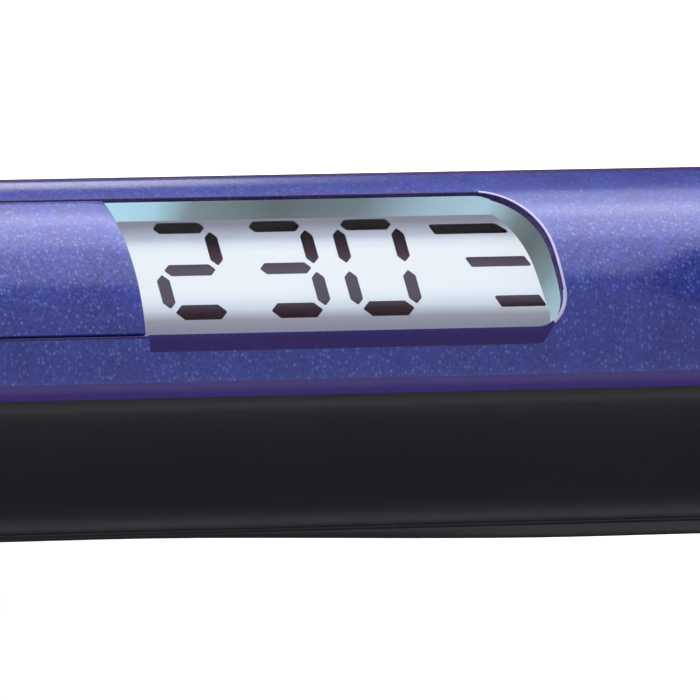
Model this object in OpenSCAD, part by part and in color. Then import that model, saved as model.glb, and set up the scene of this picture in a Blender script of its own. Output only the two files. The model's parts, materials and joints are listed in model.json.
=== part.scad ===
// Digital curling iron on its rest stand: round handle with a display in its top cover,
// spring clamp with a thumb lever over the barrel, folding stand and swivelling cord gland.
// The iron is drawn along its own axis: x = 0 is the handle's front face, +x runs to the barrel tip,
// +z faces out of the display. placed() then tilts it and stands it on z = 0.

/* [Handle] */
// Radius of the round grip
handle_r = 15.5; // [15.5:0.1:16]
// Length of the handle from its front face to its rear face
handle_len = 168; // [168:1:176]
// Wall thickness of the housings
wall = 2.9; // [2.7:0.1:3]
// Nose-up tilt of the iron while it rests on its stand, in degrees
tilt = 7; // [6:0.5:8]

/* [Top cover] */
// Rear end of the cover, measured back from the handle's front face
cover_rear = 154; // [154:1:155]
// Front end of the cover
cover_front = 30; // [29:1:31]
// Angle that the cover spans to each side of its crest
cover_half_angle = 46; // [45:0.5:47]

/* [Display] */
// Front end of the display window
window_front = 59; // [58.5:0.5:59.5]
// Length of the display window
window_len = 40.6; // [40:0.1:41]
// Half width of the slot that holds the window and the control panel
slot_half = 6.95; // [6.8:0.05:7]
// Height of the flat display face above the handle's axis
display_z = 12; // [11.9:0.05:12.1]

/* [Barrel and clamp] */
// Outer radius of the heated barrel
barrel_r = 12.5; // [12.4:0.05:12.5]
// Exposed barrel length
barrel_len = 132; // [126:1:140]
// Length of the cool tip
tip_len = 20; // [18:1:24]
// Angle that the lever turns to open the clamp, in degrees
clamp_open = 18; // [16:0.5:18]

/* [Hidden] */
$fn = 96;

gap = 0.05;                       // clearance between parts that are fixed to each other
seam_z = -4.64;                   // height of the split between the two housings
groove_w = 1;                     // shadow groove along the split
groove_d = 0.7;
cavity_r = handle_r - wall;       // inside of the housings
cover_r = handle_r + 0.2;         // outer surface of the top cover
cover_in_r = 14.1;                // floor of the recess that the cover lies in
cover_half = handle_r * sin(cover_half_angle);
lip_r = cover_r - 0.6;            // underside of the cover's lip around the window
wx0 = -window_front - window_len; // rear end of the window
wx1 = -window_front;              // front end of the window
panel_rear = -146;                // rear end of the control panel
button_x = [-140, -129.5, -120];  // power, plus and minus
button_r = 3.7;
button_travel = 0.7;
board_z = 5;                      // top face of the circuit board
board_t = 1.6;
boss_x = [-149, -107, -44];       // housing screws along the handle
rear_bend = 26;                   // length of the rounded rear end
rear_drop = 5;                    // how far the radius falls over that length
rotor_x = -178;                   // rear face of the cord swivel
cord_bore_r = 3.2;
pivot_x = 11;                     // clamp hinge
pivot_z = 19.5;
pin_r = 1.5;
running = 0.05;                   // radial clearance of a turning fit
stand_x = 20;                     // stand hinge
stand_z = -10;
foot_x = 15;                      // where the deployed stand meets the table
bar_r = 1.7;                      // radius of the stand's cross bar
foot_drop = 2.4;                  // table to cross bar centre

// Radius of the handle at x, with its rounded rear end.
function handle_radius(x) =
    x > -handle_len + rear_bend ? handle_r : handle_r - rear_drop * pow((-handle_len + rear_bend - x) / rear_bend, 2);
rear_stations = [for (i = [0:8]) -handle_len + rear_bend * i / 8];
handle_outline = concat([for (x = rear_stations) [x, handle_radius(x)]], [[-0.8, handle_r], [0, handle_r - 0.8]]);
tip_end = barrel_len + tip_len;

// Height that brings the lowest point of the tilted handle to the table.
lift = max([for (p = handle_outline) p[1] * cos(tilt) - p[0] * sin(tilt)]);
foot_z = (foot_drop - lift - foot_x * sin(tilt)) / cos(tilt);
tip_outline = concat([[134.6, 12.2], [136, 12.6]], [for (a = [80:-8:0]) [tip_end - 9 + 9 * cos(a), 5 + 7.4 * sin(a)]]);
// Ends of the tilted iron, which set the frame's origin at the middle of its length.
rear_reach = rotor_x * cos(tilt) - 5 * sin(tilt);
front_reach = max([for (p = tip_outline) p[0] * cos(tilt) + p[1] * sin(tilt)]);
middle_x = (rear_reach + front_reach) / 2;

module placed() { translate([-middle_x, 0, lift]) rotate([0, -tilt, 0]) children(); }
module lathe(points) { rotate([0, 90, 0]) rotate_extrude() polygon([for (p = points) [p[1], p[0]]]); }
module rod_x(r, x0, x1, y = 0, z = 0) { translate([x0, y, z]) rotate([0, 90, 0]) cylinder(h = x1 - x0, r = r); }
module rod_y(r, y0, y1, x, z) { translate([x, y0, z]) rotate([-90, 0, 0]) cylinder(h = y1 - y0, r = r); }
module tube_x(r_out, r_in, x0, x1) {
    difference() {
        rod_x(r_out, x0, x1);
        rod_x(r_in, x0 - 1, x1 + 1);
    }
}
module block(x0, x1, y0, y1, z0, z1) { translate([x0, y0, z0]) cube([x1 - x0, y1 - y0, z1 - z0]); }
module column(points, z0, z1) { translate([0, 0, z0]) linear_extrude(z1 - z0) polygon(points); }
// A plate that follows the round handle: the plan outline between two radii, above the axis.
module curved_plate(points, r_in, r_out) {
    intersection() {
        column(points, 2, r_out + 2);
        difference() {
            rod_x(r_out, -200, 160);
            rod_x(r_in, -201, 161);
        }
    }
}
// Side view outline in x and z, extruded over a width in y.
module slab(points, half_width) {
    rotate([90, 0, 0]) translate([0, 0, -half_width]) linear_extrude(2 * half_width) polygon(points);
}
function arc(cx, cy, rx, ry, a0, a1, n) =
    [for (i = [0:n]) let (a = a0 + (a1 - a0) * i / n) [cx + rx * cos(a), cy + ry * sin(a)]];
function round_box(x0, x1, h, r_rear, r_front) = concat(
    arc(x1 - r_front, h - r_front, r_front, r_front, 90, 0, 8), arc(x1 - r_front, r_front - h, r_front, r_front, 0, -90, 8),
    arc(x0 + r_rear, r_rear - h, r_rear, r_rear, 270, 180, 8), arc(x0 + r_rear, h - r_rear, r_rear, r_rear, 180, 90, 8));
// The front end of the slot: a long sweep on one side and a short one on the other, grown by g.
function slot_front(g) = concat(
    arc(wx1 - 4.6, slot_half - 6.9, 4.6 + g, 6.9 + g, 90, 0, 12), arc(wx1 - 3, 3 - slot_half, 3 + g, 3 + g, 0, -90, 8));
function window_outline(g) = concat(slot_front(g), [[wx0 - g, -slot_half - g], [wx0 - g, slot_half + g]]);
function slot_outline(g) = concat(slot_front(g),
    arc(panel_rear + 5, 5 - slot_half, 5 + g, 5 + g, 270, 180, 8), arc(panel_rear + 5, slot_half - 5, 5 + g, 5 + g, 180, 90, 8));
function panel_outline(g) = concat([[wx0 - 0.25, slot_half + g], [wx0 - 0.25, -slot_half - g]],
    arc(panel_rear + 5, 5 - slot_half, 5 + g, 5 + g, 270, 180, 8), arc(panel_rear + 5, slot_half - 5, 5 + g, 5 + g, 180, 90, 8));
cover_outline = round_box(-cover_rear, -cover_front, cover_half, 9, 9);
cover_pocket = round_box(-cover_rear - gap, -cover_front + gap, cover_half + gap, 9, 9);

// A tube that follows a list of points, as one closed mesh of rings.
module sweep(path, r, sides = 8) {
    n = len(path);
    rings = [for (i = [0:n - 1])
        let (
            d = path[min(i + 1, n - 1)] - path[max(i - 1, 0)],
            t = d / norm(d),
            helper = abs(t[1]) < 0.9 ? [0, 1, 0] : [1, 0, 0],
            u = cross(t, helper) / norm(cross(t, helper)),
            v = cross(t, u)
        )
        for (k = [0:sides - 1]) path[i] + r * (cos(360 * k / sides) * u + sin(360 * k / sides) * v)];
    walls = [for (i = [0:n - 2], k = [0:sides - 1])
        let (a = i * sides + k, b = i * sides + (k + 1) % sides) each [[a, b, b + sides], [a, b + sides, a + sides]]];
    polyhedron(rings, concat([[for (k = [sides - 1:-1:0]) k]], walls, [[for (k = [0:sides - 1]) (n - 1) * sides + k]]));
}

// ---- Handle casings ----

module housing_body() {
    difference() {
        lathe(concat([[-handle_len, 0]], handle_outline, [[0, 0]]));
        lathe([[-160.6, 0], [-160.6, 9.4], [-154, 9.4], [-149, cavity_r - 0.9], [-142, cavity_r], [-26.2, cavity_r],
            [-26.2, 13.9], [1, 13.9], [1, 0]]);
        rod_x(9.5, -163.9, -160);
        rod_x(5.68, -handle_len - 1, -163);
    }
}

module boss(x, z0, z1, r) {
    intersection() {
        translate([x, 0, z0]) cylinder(h = z1 - z0, r = r);
        rod_x(cavity_r + 0.4, -200, 0);
    }
}

module upper_housing() {
    color("#1f1e23") difference() {
        union() {
            intersection() {
                housing_body();
                block(-200, 10, -30, 30, seam_z, 30);
            }
            for (x = boss_x) boss(x, seam_z, 13, 3);
        }
        curved_plate(cover_pocket, cover_in_r, handle_r + 3);
        column(window_outline(0.9), 2, 20);
        for (x = button_x) translate([x, 0, 2]) cylinder(h = 16, r = button_r + 0.3);
        for (x = boss_x) translate([x, 0, seam_z - 1]) cylinder(h = 9, r = 1.4);
    }
}

module lower_housing() {
    color("#1f1e23") difference() {
        union() {
            intersection() {
                housing_body();
                block(-200, 10, -30, 30, -30, seam_z - gap);
            }
            for (x = boss_x) boss(x, -13, seam_z - gap, 3.9);
        }
        // Shadow groove along the seam, which follows the handle's outline
        difference() {
            block(-200, 10, -20, 20, seam_z - groove_w, seam_z + 1);
            lathe(concat([[-200, 0], [-200, handle_r]], [for (p = handle_outline) [p[0], p[1] - groove_d]],
                [[20, handle_r - groove_d], [20, 0]]));
        }
        for (x = boss_x) {
            translate([x, 0, -20]) cylinder(h = 20, r = 1.7);
            translate([x, 0, -20]) cylinder(h = 20 - 9.5, r = 3);
        }
    }
}

module top_cover() {
    color("#4a4fa0") difference() {
        curved_plate(cover_outline, cover_in_r + gap, cover_r);
        column(slot_outline(0), 2, 20);
        curved_plate(window_outline(0.9), 10, lip_r);
        curved_plate(bezel_outline(gap), lip_r + 0.1, cover_r + 1);
    }
}

// Narrow strip beside and round the near corner of the window, grown by g.
function bezel_outline(g) = concat([[wx0 + gap - g, -slot_half - 1.45 - g], [wx0 + gap - g, -slot_half + 0.5],
    [wx1 - 2, -slot_half + 2.5], [wx1 - 0.4, -3.5]],
    arc(wx1 - 3, 3 - slot_half, 3.25 + g, 4.45 + g, 0, -90, 8));
module display_bezel() {
    color("#36286a") difference() {
        curved_plate(bezel_outline(0), lip_r + 0.12, cover_r - 0.02);
        column(slot_outline(0.01), 2, 20);
    }
}

module control_panel() {
    color("#4a4fa0") difference() {
        curved_plate(panel_outline(-0.12), cover_in_r + gap, cover_r);
        curved_plate(window_outline(0.9), 10, lip_r);
        for (x = button_x) translate([x, 0, 2]) cylinder(h = 16, r = button_r + 0.3);
    }
}

// ---- Display ----

module display_lens() {
    color("#dfe9ee", 0.4) union() {
        curved_plate(window_outline(-0.06), lip_r - 0.14, cover_r - 0.08);
        curved_plate(window_outline(0.6), lip_r - 0.14, lip_r - 0.02);
    }
}

// The far wall leans in towards the display.
wall_foot = 6.03;
module display_frame() {
    color("#bfe3ee") difference() {
        intersection() {
            column(window_outline(0.8), board_z, 20);
            rod_x(lip_r - 0.16, -200, 0);
        }
        difference() {
            column(window_outline(0), board_z - 1, 21);
            rotate([90, 0, 90]) translate([0, 0, wx0 - 2]) linear_extrude(window_len + 4)
                polygon([[wall_foot, display_z + 0.02], [slot_half, 14.1], [slot_half + 2, 14.1], [slot_half + 2, display_z + 0.02]]);
        }
    }
}

module display_panel() { color("#f4f6f8") column(window_outline(-gap), display_z - 1.5, display_z); }

digit_x = [-92.36, -83.12, -74.25]; // centres of the three digits
digit_y = 0.9;
digit_half_w = 2.85;
digit_half_h = 4.33;
digit_lean = 0.05;                // how far a digit leans for its height
stroke = 1.2;
stroke_gap = 0.42;
// Seven-segment shapes round a digit's centre: level bars of thickness t, and upright ones.
function bar_h(y, t) = let (s = t / 2, w = digit_half_w - 0.36) [[-w, y], [-w + s, y + s], [w - s, y + s], [w, y],
    [w - s, y - s], [-w + s, y - s]];
function bar_v(x, y0, y1) = let (s = stroke / 2) [[x, y0], [x + s, y0 + s], [x + s, y1 - s], [x, y1], [x - s, y1 - s],
    [x - s, y0 + s]];
seg_shapes = [
    bar_h(digit_half_h, 1.08), bar_v(digit_half_w, stroke_gap, digit_half_h - stroke_gap),
    bar_v(digit_half_w, stroke_gap - digit_half_h, -stroke_gap), bar_h(-digit_half_h, 1.5),
    bar_v(-digit_half_w, stroke_gap - digit_half_h, -stroke_gap),
    bar_v(-digit_half_w, stroke_gap, digit_half_h - stroke_gap), bar_h(0, 1.12)
];
// Which of the segments a b c d e f g are lit for each digit.
digits_lit = [[0, 1, 6, 4, 3], [0, 1, 6, 2, 3], [0, 1, 2, 3, 4, 5]];
// Level bars beside the digits: middle, thickness, and both ends along the handle.
level_bars = [[4.6, 1, -68, -60.6], [1.15, 1, -65.5, -59.7], [-2.95, 1.15, -63.9, -59.75]];

module ink(points) { column(points, display_z + 0.005, display_z + 0.08); }
module display_segments() {
    color("#1c1220") {
        for (d = [0:2], s = digits_lit[d])
            ink([for (p = seg_shapes[s]) [digit_x[d] + p[0] + digit_lean * p[1], digit_y + p[1]]]);
        for (b = level_bars) {
            h = b[1] / 2;
            ink([[b[2], b[0] + h], [b[3], b[0] + h], [b[3] + 0.45, b[0] - h], [b[2] + 0.4, b[0] - h]]);
        }
    }
}

module display_module() { color("#e8ecee") block(wx0 + 1, wx1 - 2.6, -6, 6, board_z, 9.4); }

// ---- Electronics ----

module circuit_board() {
    color("#2f6b3c") difference() {
        block(-144, -50, -10.3, 10.3, board_z - board_t, board_z);
        translate([boss_x[1], 0, 0]) cylinder(h = 10, r = 3.4);
    }
}

module board_parts() {
    color("#8a6f3a") {
        block(-82, -68, -7, 1, -4, board_z - board_t);
        rod_x(3.2, -100, -86, 4, board_z - board_t - 3.25);
        block(-64, -54, 2, 7, -2, board_z - board_t);
        block(-132, -122, -5, 5, board_z - board_t - 1.4, board_z - board_t);
        block(-118, -114, 3, 6, board_z - board_t - 2.5, board_z - board_t);
    }
}

module tact_switches() {
    color("#3a3a3e") for (x = button_x) {
        block(x - 3, x + 3, -3, 3, board_z, 8.3);
        translate([x, 0, 8.3]) cylinder(h = 0.8, r = 1.6);
    }
}

module heater_leads() {
    color("#b23a2e") for (y = [-4.5, 4.5]) union() {
        rod_x(0.9, -57, 12.9, y, board_z + 0.9);
        translate([12, y, -0.9]) cylinder(h = board_z + 2.7, r = 0.9);
        rod_x(0.9, 11.1, 15, y, 0);
    }
}

module sensor_leads() {
    color("#d8d8d2") for (y = [-7.9, -6.5]) rod_x(0.45, -57, 36, y, board_z + 0.45);
}

module mains_leads() {
    color("#2b4c8c") for (s = [-1, 1]) union() {
        rod_x(0.7, s < 0 ? -158.4 : -155.9, -142.3, s * 3.9, 7.6);
        translate([-143, s * 3.9, board_z]) cylinder(h = 3.3, r = 0.7);
    }
}

module thermal_fuse() { color("#c9a24a") translate([0, 4.5, board_z + 0.9]) tube_x(2, 0.92, -38, -29); }

module housing_screws() {
    color("#8d9096") for (x = boss_x) {
        translate([x, 0, -12]) cylinder(h = 2.45, r = 2.7);
        translate([x, 0, -9.6]) cylinder(h = 8.5, r = 1.35);
    }
}

module contact_brushes() {
    color("#c7a15a") for (s = [-1, 1]) translate([-157.65 + s * 1.25, 0, 0]) union() {
        block(-0.5, 0.5, s < 0 ? -4.4 : -2.4, s < 0 ? 2.4 : 4.4, 5.7, 6.1);
        block(-0.5, 0.5, s < 0 ? -4.4 : 3.4, s < 0 ? -3.4 : 4.4, 5.7, 8.25);
    }
}

// ---- Barrel ----

module barrel_socket() {
    color("#3a3532") lathe([[-26, 10.6], [-26, 13.8], [-0.2, 13.8], [-0.2, barrel_r + gap], [-24, barrel_r + gap], [-24, 10.6]]);
}

module trim_ring() {
    color("#b9bcc4") lathe([[0.05, barrel_r + gap], [0.05, 15.3], [0.5, 15.8], [2, 15.8], [2.45, 15.3], [2.45, barrel_r + gap]]);
}

module front_collar() {
    color("#232227") difference() {
        union() {
            lathe([[2.5, barrel_r + gap], [2.5, 15], [21, 15], [26, 14.2], [27, 13.4], [27, barrel_r + gap]]);
            for (s = [-1, 1]) rod_y(3.4, s > 0 ? 8 : -12.3, s > 0 ? 12.3 : -8, stand_x, stand_z);
        }
        // Flats that let the stand's arms swing beside the collar
        for (s = [-1, 1]) {
            rod_y(3.5, s > 0 ? 12.3 : -16, s > 0 ? 16 : -12.3, stand_x, stand_z);
            block(stand_x, 30, s > 0 ? 12.3 : -16, s > 0 ? 16 : -12.3, stand_z - 3.5, stand_z + 3.5);
        }
        rod_x(barrel_r + gap, 0, 40);
        for (s = [-1, 1]) rod_y(pin_r + 0.01, s > 0 ? 7 : -14, s > 0 ? 14 : -7, stand_x, stand_z);
        for (s = [-1, 1]) translate([pivot_x, s * 8.4, 12]) rotate([-s * 34, 0, 0]) cylinder(h = 8, r = 0.9);
    }
}

module barrel_tube() {
    color("#b8a9c4") lathe([[-24 + gap, 11.5], [-24 + gap, barrel_r], [barrel_len, barrel_r], [barrel_len, 11.5]]);
}

module heater_element() { color("#d9d2c3") block(15, 112, -5.5, 5.5, -1.6, 1.6); }

module heat_spreader(s) {
    color("#a9adb3") intersection() {
        union() {
            tube_x(11.4, 10.4, 16, 118);
            block(16, 118, -5, 5, 1.65, 2.65);
            for (y = [-5, 4]) block(16, 118, y, y + 1, 1.65, 10.6);
        }
        block(10, 130, -10.5, 10.5, 1.65, 12);
        rod_x(11.4, 10, 130);
    }
}
module heat_spreader_upper() { heat_spreader(1); }
module heat_spreader_lower() { mirror([0, 0, 1]) heat_spreader(1); }

module thermistor() {
    color("#5a4632") block(36.05, 42, -8.35, -6.05, board_z - 0.7, board_z + 1.1);
}

module tip_sleeve() {
    color("#3a3532") lathe([[122, 8.6], [122, 11.45], [134, 11.45], [134, 1.52], [130, 1.52], [130, 8.6]]);
}

module tip_ring() {
    color("#5a4fa8") lathe([[barrel_len + gap, 11.5], [barrel_len + gap, 12.9], [134, 12.9], [134.5, 12.4], [134.5, 11.5]]);
}

module cool_tip() {
    color("#1f1e23") difference() {
        lathe(concat([[134.6, 0]], tip_outline, [[tip_end, 0]]));
        lathe([[134, 0], [134, 9.8], [tip_end - 10, 9.8], [tip_end - 6, 6], [tip_end - 6, 0]]);
        rod_x(1.6, tip_end - 7, tip_end + 1);
        rod_x(3.1, tip_end - 2.4, tip_end + 1);
    }
}

module tip_screw() {
    color("#8d9096") union() {
        rod_x(2.8, tip_end - 2.38, tip_end - 0.6);
        rod_x(1.5, 130.4, tip_end - 2.3);
    }
}

// ---- Clamp and its hinge ----

module hinge_bracket() {
    color("#aeb2b9") difference() {
        union() {
            intersection() {
                tube_x(16, 15.02, 5, 17);
                block(0, 20, -10.6, 10.6, 5, 20);
            }
            for (s = [-1, 1]) {
                block(pivot_x - 2.9, pivot_x + 2.9, s > 0 ? 6.2 : -7.4, s > 0 ? 7.4 : -6.2, 13, pivot_z);
                rod_y(2.9, s > 0 ? 6.2 : -7.4, s > 0 ? 7.4 : -6.2, pivot_x, pivot_z);
            }
        }
        rod_x(15.02, 0, 40);
        rod_y(pin_r + 0.01, -9, 9, pivot_x, pivot_z);
        for (s = [-1, 1]) translate([pivot_x, s * 8.4, 12]) rotate([-s * 34, 0, 0]) cylinder(h = 8, r = 1);
    }
}

module bracket_screws() {
    color("#8d9096") for (s = [-1, 1]) translate([pivot_x, s * 8.4, 12]) rotate([-s * 34, 0, 0]) {
        translate([0, 0, 1.2]) cylinder(h = 2.2, r = 0.85);
        translate([0, 0, 3.05]) cylinder(h = 0.7, r = 1.5);
    }
}

module hinge_pin() {
    color("#c9ccd2") union() {
        rod_y(pin_r, -8, 8, pivot_x, pivot_z);
        for (s = [-1, 1]) rod_y(2.3, s > 0 ? 7.45 : -8.4, s > 0 ? 8.4 : -7.45, pivot_x, pivot_z);
    }
}

coil_turns = 6;
coil_steps = 14;
coil_r = 2.25;
module torsion_spring() {
    steps = coil_turns * coil_steps;
    coil = [for (i = [0:steps]) let (a = 200 + 360 * i / coil_steps)
        [pivot_x + coil_r * cos(a), -3.2 + 6.4 * i / steps, pivot_z + coil_r * sin(a)]];
    color("#9a9da3") sweep(concat([[pivot_x - 7, -3.2, pivot_z + 0.3]], coil, [[pivot_x - 5.4, 3.2, pivot_z - 3.2]]), 0.4, 6);
}

// Turns a piece drawn with the lever pressed down back to the clamp's closed position.
module released() {
    translate([pivot_x, 0, pivot_z]) rotate([0, clamp_open, 0]) translate([-pivot_x, 0, -pivot_z]) children();
}

plate_outline = concat(arc(121, 0, 10, 12.1, 90, -90, 16), arc(40, -4, 11, 8.1, -90, -163, 8),
    arc(40, 4, 11, 8.1, 163, 90, 8));
module clamp_plate() { color("#c4c7cd") curved_plate(plate_outline, barrel_r + 0.3, barrel_r + 1.2); }

lever_rear = -42;
lever_outline = concat(arc(-3, 0, 4.5, 6.6, 90, -90, 8), [[-16, -7.6]], arc(lever_rear + 9, 0, 9, 9, 270, 90, 12), [[-16, 7.6]]);
arm_half = 5.8;
arm_wall = 1.2;
module clamp_arm() {
    front = [[48, 12], [48, 14.9], [31, 14.9], [26.5, 18.8], [18, 22.6], [11, 22.9], [8, 22.4], [8, 17.5], [13, 16.3],
        [26, 15.4], [29, 12]];
    rear = [[14, 22.8], [13, 18], [5, 16.9], [-30, 16.9], [-30, 18.1], [2, 18.1], [6, 22.4]];
    color("#aeb2b9") difference() {
        union() {
            intersection() {
                slab(front, arm_half);
                column(round_box(-10, 48, arm_half, 1, 4.5), 0, 30);
            }
            released() slab(rear, arm_half);
            rod_y(2.9, -arm_half, arm_half, pivot_x, pivot_z);
        }
        rod_x(barrel_r + 1.22, 20, 60);
        rod_y(pin_r + running, -9, 9, pivot_x, pivot_z);
        // Room for the spring between the side walls
        rod_y(3.1, arm_wall - arm_half, arm_half - arm_wall, pivot_x, pivot_z);
        slab([[20, 13], [20, 18.4], [16, 21.2], [6, 21.6], [2, 19.5], [2, 13]], arm_half - arm_wall);
        for (x = [35, 43]) translate([x, 0, 10]) cylinder(h = 10, r = 1.5);
        released() for (x = [-24, -14]) translate([x, 0, 14]) cylinder(h = 10, r = 1.3);
    }
}

module clamp_rivets() {
    color("#c9ccd2") for (x = [35, 43]) {
        translate([x, 0, 13.75]) cylinder(h = 1.4, r = 1.45);
        translate([x, 0, 14.95]) cylinder(h = 0.7, r = 2.4);
    }
}

module thumb_lever() {
    color("#232227") released() difference() {
        curved_plate(lever_outline, handle_r + 0.8, 20.4);
        block(-30.1, 20, -arm_half - gap, arm_half + gap, 16.85, 18.15);
        for (x = [-24, -14]) translate([x, 0, 12]) cylinder(h = 8, r = 1.35);
        for (x = [-24, -14]) translate([x, 0, 12]) cylinder(h = 4.9, r = 2.5);
        curved_plate(round_box(-39, -20, 5.6, 5.5, 5.5), 19.8, 25);
    }
}

module lever_pad() {
    color("#4a4fa0") released() union() {
        curved_plate(round_box(-38.9, -20.1, 5.5, 5.4, 5.4), 19.85, 20.5);
        for (x = [-35.5:3:-23.5]) curved_plate([[x - 0.6, -4], [x + 0.6, -4], [x + 0.6, 4], [x - 0.6, 4]], 20.4, 20.9);
    }
}

module lever_screws() {
    color("#8d9096") released() for (x = [-24, -14]) {
        translate([x, 0, 16.2 + 0.05]) cylinder(h = 3, r = 1.25);
        translate([x, 0, 15.9]) cylinder(h = 0.85, r = 2.3);
    }
}

// ---- Stand ----

arm_in = 12.7;
arm_out = 14.2;
module stand_pins() {
    color("#c9ccd2") for (s = [-1, 1]) {
        rod_y(pin_r, s > 0 ? 9.4 : -14.4, s > 0 ? 14.4 : -9.4, stand_x, stand_z);
        rod_y(2.4, s > 0 ? 14.35 : -15, s > 0 ? 15 : -14.35, stand_x, stand_z);
    }
}

// Side view of one arm: an eye at each end of a flat leg.
module stand_arm() {
    along = [foot_x - stand_x, foot_z - stand_z] / norm([foot_x - stand_x, foot_z - stand_z]);
    across = [-along[1], along[0]] * 1.9;
    top = [stand_x, stand_z];
    foot = [foot_x, foot_z];
    difference() {
        union() {
            translate(top) circle(r = 3);
            translate(foot) circle(r = 2.3);
            polygon([top + across, foot + across, foot - across, top - across]);
        }
        translate(top) circle(r = pin_r + running);
    }
}

module stand_frame() {
    color("#b4b8be") union() {
        for (y = [-arm_in, arm_out]) translate([0, y, 0]) rotate([90, 0, 0]) linear_extrude(arm_out - arm_in) stand_arm();
        rod_y(bar_r, -13.3, 13.3, foot_x, foot_z);
    }
}

module stand_feet() {
    color("#2a292e") for (s = [-1, 1]) difference() {
        translate([foot_x, s * 9.6, foot_z]) rotate([0, tilt, 0])
            block(-3, 3, -2.9, 2.9, -foot_drop, 2.2);
        rod_y(bar_r + 0.01, -20, 20, foot_x, foot_z);
    }
}

// ---- Cord swivel ----

module swivel_rotor() {
    color("#1b1a1e") difference() {
        lathe([[rotor_x, 0], [rotor_x, 5], [rotor_x + 1, 5.8], [rotor_x + 6, 8], [-168.4, 8.6], [-168.4, 5.6],
            [-163.6, 5.6], [-163.6, 9], [-161, 9], [-161, 4.6], [-154.2, 4.6], [-154.2, 0]]);
        rod_x(cord_bore_r, rotor_x - 1, -162);
        rod_x(2, -163, -150);
    }
}

module slip_rings() { color("#c7a15a") for (x = [-158.9, -156.4]) tube_x(5.6, 4.62, x - 0.8, x + 0.8); }

// ---- Buttons ----

module button(x, tint) {
    color(tint) union() {
        intersection() {
            translate([x, 0, 11]) cylinder(h = 6, r = button_r);
            rod_x(cover_r + 0.35, x - 6, x + 6);
        }
        translate([x, 0, 10.55]) cylinder(h = 0.9, r = 4.4);
        translate([x, 0, 9.9]) cylinder(h = 0.9, r = 1.8);
    }
}
module mark_plate(points) { curved_plate(points, cover_r + 0.36, cover_r + 0.42); }
function box_outline(x, y, hx, hy) = [[x - hx, y - hy], [x + hx, y - hy], [x + hx, y + hy], [x - hx, y + hy]];

module power_button() { button(button_x[0], "#26252b"); }
module power_mark() {
    color("#c8ccd6") {
        mark_plate(box_outline(button_x[0], 1.25, 0.2, 0.85));
        intersection() {
            curved_plate(box_outline(button_x[0], 0, 3, 3), cover_r + 0.36, cover_r + 0.42);
            translate([button_x[0], 0, 5]) difference() {
                cylinder(h = 20, r = 1.75);
                translate([0, 0, -1]) cylinder(h = 22, r = 1.35);
                translate([-0.65, 0, -1]) cube([1.3, 4, 22]);
            }
        }
    }
}
module plus_button() { button(button_x[1], "#26252b"); }
module plus_mark() {
    color("#c8ccd6") union() {
        mark_plate(box_outline(button_x[1], 0, 1.6, 0.22));
        mark_plate(box_outline(button_x[1], 0, 0.22, 1.6));
    }
}
module minus_button() { button(button_x[2], "#26252b"); }
module minus_mark() { color("#c8ccd6") mark_plate(box_outline(button_x[2], 0, 1.6, 0.22)); }

placed() {
    upper_housing();
    lower_housing();
    top_cover();
    control_panel();
    display_bezel();
    display_lens();
    display_frame();
    display_panel();
    display_segments();
    display_module();
    circuit_board();
    board_parts();
    tact_switches();
    heater_leads();
    sensor_leads();
    mains_leads();
    thermal_fuse();
    housing_screws();
    contact_brushes();
    barrel_socket();
    trim_ring();
    front_collar();
    barrel_tube();
    heater_element();
    heat_spreader_upper();
    heat_spreader_lower();
    thermistor();
    tip_sleeve();
    tip_ring();
    cool_tip();
    tip_screw();
    hinge_bracket();
    bracket_screws();
    hinge_pin();
    torsion_spring();
    stand_pins();
    clamp_plate();
    clamp_arm();
    clamp_rivets();
    thumb_lever();
    lever_pad();
    lever_screws();
    stand_frame();
    stand_feet();
    swivel_rotor();
    slip_rings();
    power_button();
    power_mark();
    plus_button();
    plus_mark();
    minus_button();
    minus_mark();
}
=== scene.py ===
"""Looks for the curling iron: finer shells, paint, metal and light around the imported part."""

import json
from math import acos, asin, atan2, copysign, cos, degrees, dist, floor, hypot, pi, radians, sin, sqrt, tan

import bmesh
import bpy
import numpy as np
from mathutils import Matrix, Vector
from mathutils.geometry import delaunay_2d_cdt


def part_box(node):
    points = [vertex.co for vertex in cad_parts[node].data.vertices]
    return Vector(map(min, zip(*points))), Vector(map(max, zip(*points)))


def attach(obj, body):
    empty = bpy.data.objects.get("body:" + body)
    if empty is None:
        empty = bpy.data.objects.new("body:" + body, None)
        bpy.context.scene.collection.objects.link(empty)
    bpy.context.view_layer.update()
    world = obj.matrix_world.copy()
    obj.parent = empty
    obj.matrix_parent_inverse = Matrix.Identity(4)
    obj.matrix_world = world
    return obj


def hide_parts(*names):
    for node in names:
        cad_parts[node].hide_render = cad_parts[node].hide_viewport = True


scene = bpy.context.scene
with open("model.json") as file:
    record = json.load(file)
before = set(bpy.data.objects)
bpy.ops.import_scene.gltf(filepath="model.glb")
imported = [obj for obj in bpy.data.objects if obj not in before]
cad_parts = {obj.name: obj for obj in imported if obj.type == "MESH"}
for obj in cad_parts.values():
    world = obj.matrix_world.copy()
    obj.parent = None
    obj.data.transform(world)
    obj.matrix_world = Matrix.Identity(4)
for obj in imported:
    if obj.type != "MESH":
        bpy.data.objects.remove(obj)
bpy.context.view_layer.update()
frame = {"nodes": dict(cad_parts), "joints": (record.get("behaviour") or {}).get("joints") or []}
nodes = frame["nodes"]
joints = {j["name"]: j for j in frame["joints"]}

# The iron's own frame: x along its axis to the tip, z out of the display, in millimetres.
MM = 0.001
REAR = -168.0
out_axis = Vector(joints["cord_turn"]["axis"])
tilt = atan2(-out_axis.z, -out_axis.x)
home_pos = Vector(joints["cord_turn"]["pos_m"]) + out_axis * REAR * MM
HOME = Matrix.Translation(home_pos) @ Matrix.Rotation(-tilt, 4, "Y")
OPEN = radians(joints["clamp_hinge"]["range_deg"][1])

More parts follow.
